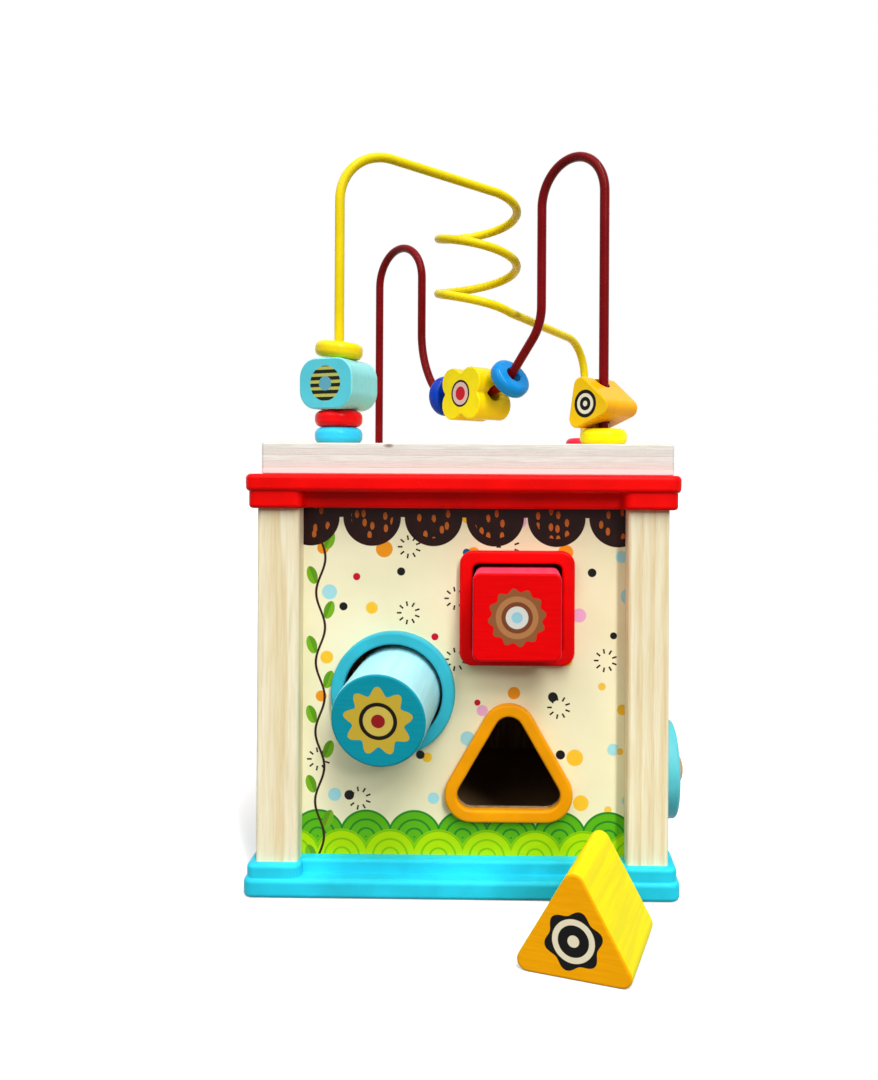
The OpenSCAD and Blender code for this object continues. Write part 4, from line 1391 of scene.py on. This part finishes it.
@dataclass
class Beads:
    """Beads threaded on the wires. A shaped bead's local +Z points out of its printed face."""

    disc_d: float = 24 * MM
    disc_t: float = 8.4 * MM
    disc_edge: float = 3.4 * MM
    disc_lip: float = 0.8 * MM
    bore: float = 9 * MM
    drill: float = 60 * MM
    shaped_length: float = 25 * MM
    teal: Triple = (31 * MM, 25.6 * MM, 9.5 * MM)
    teal_turn: float = math.radians(-22)
    flower: Triple = (33 * MM, 30 * MM, 8.8 * MM)
    triangle: tuple[float, float] = (16.5 * MM, 4.7 * MM)
    triangle_turn: float = math.radians(-44)
    triangle_roll: float = math.radians(20)
    soft: float = 0.9 * MM
    discs: tuple[tuple[str, str, Colour, Triple], ...] = (
        ("left_blue_disc", "bead_blue", (50, 200, 246), (0, 0, 0)),
        ("left_red_disc", "bead_red", (240, 6, 10), (0, 0, 0)),
        ("left_yellow_disc", "bead_yellow", (255, 226, 22), (0, 6, -22)),
        # This disc's deep blue is painted shade: a blue disc darkened for the shadow it sits in.
        ("dark_blue_disc", "bead_dark_blue", (8, 60, 190), (0, 93, -45)),
        ("light_blue_disc", "bead_blue", (14, 136, 212), (0, 56, -45)),
        ("right_yellow_disc", "bead_yellow", (252, 244, 8), (0, 0, 0)),
        ("back_red_disc", "bead_red", (232, 40, 70), (0, 0, 0)),
    )
    bars: Motif = Motif(((0.0088, (186, 190, 92)), (0.0036, (96, 170, 190))), bars=3.4 * MM)
    button: Motif = Motif(((0.0078, (24, 16, 16)), (0.0066, (222, 190, 186)), (0.0040, (200, 16, 34))))
    target: Motif = Motif(
        ((0.0070, (16, 14, 14)), (0.0052, (240, 236, 214)), (0.0034, (16, 14, 14)), (0.0014, (240, 236, 214)))
    )

    def make(self) -> None:
        """Builds every bead."""
        for disc in self.discs:
            self.disc(*disc)
        self.teal_bead()
        self.flower_bead()
        self.triangle_bead()

    def disc(self, node: str, slot: str, colour: Colour, turn: Triple) -> None:
        """One disc bead, with a rounded rim and bore.

        Args:
            node: The node it stands for.
            slot: The record's material slot.
            colour: Its lacquer.
            turn: How its bore is turned from upright, in degrees about X, Y and Z.
        """
        rim, half, edge, lip = self.disc_d / 2, self.disc_t / 2, self.disc_edge, self.disc_lip
        inner = self.bore / 2 + lip
        profile = [
            *arc((rim - edge, edge - half), edge, -90, 0, 8),
            *arc((rim - edge, half - edge), edge, 0, 90, 8),
            *arc((inner, half - lip), lip, 90, 180, 4),
            *arc((inner, lip - half), lip, 180, 270, 4),
        ]
        place = Place(tuple(middle(node)), tuple(math.radians(part) for part in turn))
        lacquer = Lacquer(f"{node}_lacquer", colour, place).build()
        stand_in(make_piece(f"{node}_turned", turned(profile, 64), lacquer, place, 50), node, node, slot)

    def shaped(
        self, node: str, slot: str, outline: list[Point2], place: Place, along: Vector,
        face: Colour, side: Colour, motif: Motif,
    ) -> None:
        """One bead of an outline, its faces softened and its bore cut across.

        Args:
            node: The node it stands for.
            slot: The record's material slot.
            outline: Outline of its face.
            place: Place of its middle.
            along: Direction of its bore.
            face: Lacquer of its faces.
            side: Lacquer of its sides.
            motif: Ornament on its face.
        """
        half = self.shaped_length / 2
        mesh = plate(outline, self.shaped_length, self.soft, segments=4)
        bmesh.ops.translate(mesh, vec=(0, 0, -half), verts=mesh.verts[:])
        drill, radius = bmesh.new(), self.bore / 2
        bmesh.ops.create_cone(
            drill, cap_ends=True, segments=48, radius1=radius, radius2=radius, depth=self.drill
        )
        turn = UP.rotation_difference(along).to_matrix().to_4x4()
        drill.transform(Matrix.Translation(place.origin) @ turn)
        lacquer = Lacquer(f"{node}_lacquer", face, place, motif, side, half).build()
        stand_in(make_piece(f"{node}_shaped", mesh, lacquer, place, bore=drill), node, node, slot)

    def teal_bead(self) -> None:
        """Barrel-shaped bead above the left stack."""
        width, height, radius = self.teal
        place = Place(tuple(middle("teal_bead")), (QUARTER, 0, self.teal_turn))
        outline = rounded_outline(square_corners(width, height, radius), radius, 10)
        colours = ((92, 208, 224), (150, 230, 232))
        self.shaped("teal_bead", "bead_teal", outline, place, UP, *colours, self.bars)

    def flower_bead(self) -> None:
        """Four-lobed bead on the trough's straight bottom, its height between the lobes two thirds of one."""
        width, height, lobe = self.flower
        x, y = width / 2 - lobe, height / 2 - lobe
        side, top = math.degrees(math.asin(y / lobe)), math.degrees(math.asin(2 / 3))
        outline = arc((x, y), lobe, -side, 180 - top, 14) + arc((-x, y), lobe, top, 180 + side, 14)[:-1]
        outline += arc((-x, -y), lobe, 180 - side, 360 - top, 14)
        outline += arc((x, -y), lobe, 180 + top, 360 + side, 14)[:-1]
        slide = next(joint for joint in frame["joints"] if joint["child"] == "flower_bead")
        along = Vector(slide["axis"])
        basis = Matrix((along, UP, along.cross(UP))).transposed()
        place = Place(tuple(middle("flower_bead")), tuple(basis.to_euler()))
        colours = ((252, 232, 10), (250, 214, 8))
        self.shaped("flower_bead", "bead_yellow", outline, place, along, *colours, self.button)

    def triangle_bead(self) -> None:
        """Three-sided bead on the right wire."""
        side, radius = self.triangle
        turn = Euler((QUARTER, 0, self.triangle_turn)).to_matrix()
        turn = turn @ Euler((0, 0, self.triangle_roll)).to_matrix()
        outline = rounded_outline(triangle_corners(side), radius, 10)
        half = self.shaped_length / 2
        own_middle = box_middle([turn @ Vector((x, y, z)) for x, y in outline for z in (-half, half)])
        place = Place(tuple(middle("triangle_bead") - own_middle), tuple(turn.to_euler()))
        colours = ((252, 206, 16), (252, 178, 8))
        self.shaped("triangle_bead", "bead_orange", outline, place, UP, *colours, self.target)


# ---------------------------------------------------------------- turning pieces


@dataclass
class SideToys:
    """Turning wheels, gears and their axles."""

    paints: tuple[tuple[str, Colour], ...] = (
        ("front_wheel", (96, 204, 214)),
        ("back_wheel", (248, 160, 6)),
        ("gear_front", (120, 164, 186)),
        ("gear_middle", (236, 10, 14)),
        ("gear_back", (250, 216, 16)),
    )
    beech: tuple[Colour, Colour] = ((226, 190, 140), (190, 146, 98))

    def make(self) -> None:
        """Dresses the turning pieces."""
        for node, colour in self.paints:
            dress(node, Paint(f"{node}_paint", colour, rough=0.36, shine=0.16).build())
        beech = BareWood("turned_beech", *self.beech, Axis.X, 2.8 * MM).build()
        for node in ("wheel_axles", "gear_axles", "axle_washers"):
            dress(node, beech)


# ---------------------------------------------------------------- studio


@dataclass
class Studio:
    """Pale floor, soft light and the camera."""

    eye: Triple = (0.0259, -0.5322, 0.2028)
    lens: float = 30.36
    film: float = 36.0
    shift: Point2 = (-0.0618, -0.0641)
    roll: float = math.radians(-0.30)
    yaw: float = math.radians(0.75)
    key_heights: tuple[float, ...] = (24, 36, 48, 60, 72)
    key_side: float = math.radians(25)
    key_level: float = 0.98
    fill_level: float = 0.46
    fill_from: Triple = (-0.30, -0.55, 0.78)
    sky_level: float = 0.24
    floor_half: float = 12.0
    floor_seen: Colour = (250, 250, 250)
    floor_as_light: Colour = (74, 74, 74)
    floor_glow: Colour = (140, 140, 140)

    def make(self) -> None:
        """Sets up the floor, the lamps, the world and the camera."""
        self.floor()
        self.world()
        self.key()
        self.sun("fill", self.fill_level, 60, Vector(self.fill_from))
        self.camera()
        bpy.context.scene.view_settings.view_transform = "Standard"

    def floor(self) -> None:
        """Large pale floor that keeps the object's shadow and throws little light up."""
        mesh = bmesh.new()
        bmesh.ops.create_grid(mesh, x_segments=2, y_segments=2, size=self.floor_half)
        shade = Shade("pale_floor")
        seen = shade.shown()
        shade.link(shade.mix(seen, (0, 0, 0), self.floor_glow), shade.shader.inputs["Emission Color"])
        colour = shade.mix(seen, self.floor_as_light, self.floor_seen)
        floor = add_object("floor", as_data("floor", mesh))
        floor.data.materials.append(
            shade.finish(colour, 0.9, Specular_IOR_Level=0.0, Emission_Strength=1.0)
        )

    def world(self) -> None:
        """Even sky: white where it shows, softer as a light."""
        world = bpy.data.worlds.new("studio")
        bpy.context.scene.world = world
        world.use_nodes = True
        world.node_tree.nodes.clear()
        sky = Nodes(world.node_tree)
        strength = sky.shown() * (1 - self.sky_level) + self.sky_level
        background = sky.node("ShaderNodeBackground", Color=(1, 1, 1, 1), Strength=strength)
        sky.node("ShaderNodeOutputWorld", Surface=background.outputs[0])

    @staticmethod
    def sun(name: str, level: float, softness: float, towards: Vector) -> None:
        """One distant lamp.

        Args:
            name: Its name.
            level: Its strength, where 1 shows a white board that faces it as white.
            softness: Its width in degrees.
            towards: Direction from the object to the lamp.
        """
        light = bpy.data.lights.new(name, "SUN")
        light.energy = level * math.pi
        light.angle = math.radians(softness)
        add_object(name, light).rotation_euler = towards.to_track_quat("Z", "Y").to_euler()

    def key(self) -> None:
        """Tall narrow light to the upper right: its shadows are crisp sideways, soft up and down."""
        for number, degrees in enumerate(self.key_heights):
            height = math.radians(degrees)
            flat = Vector((math.sin(self.key_side), -math.cos(self.key_side), 0))
            towards = flat * math.cos(height) + UP * math.sin(height)
            self.sun(f"key_{number}", self.key_level / len(self.key_heights), 8, towards)

    def camera(self) -> None:
        """Camera at the height of the cube's frame, level, a little to the right."""
        data = bpy.data.cameras.new("camera")
        data.sensor_fit = "VERTICAL"
        data.sensor_height = self.film
        data.lens = self.lens
        data.shift_x, data.shift_y = self.shift
        data.clip_start = 10 * MM
        camera = add_object("camera", data)
        camera.location = self.eye
        camera.rotation_euler = Euler((QUARTER, self.roll, self.yaw))
        bpy.context.scene.camera = camera


def main() -> None:
    """Builds and dresses the sub-assemblies in order."""
    logging.basicConfig(level=logging.INFO, format="%(name)s: %(message)s")
    Studio().make()
    Carcass().dress()
    for part in (HoleRings(), Blocks(), Lid(), MazeWires(), Beads(), SideToys()):
        part.make()


if __name__ == "__main__":
    main()
    bpy.context.view_layer.update()
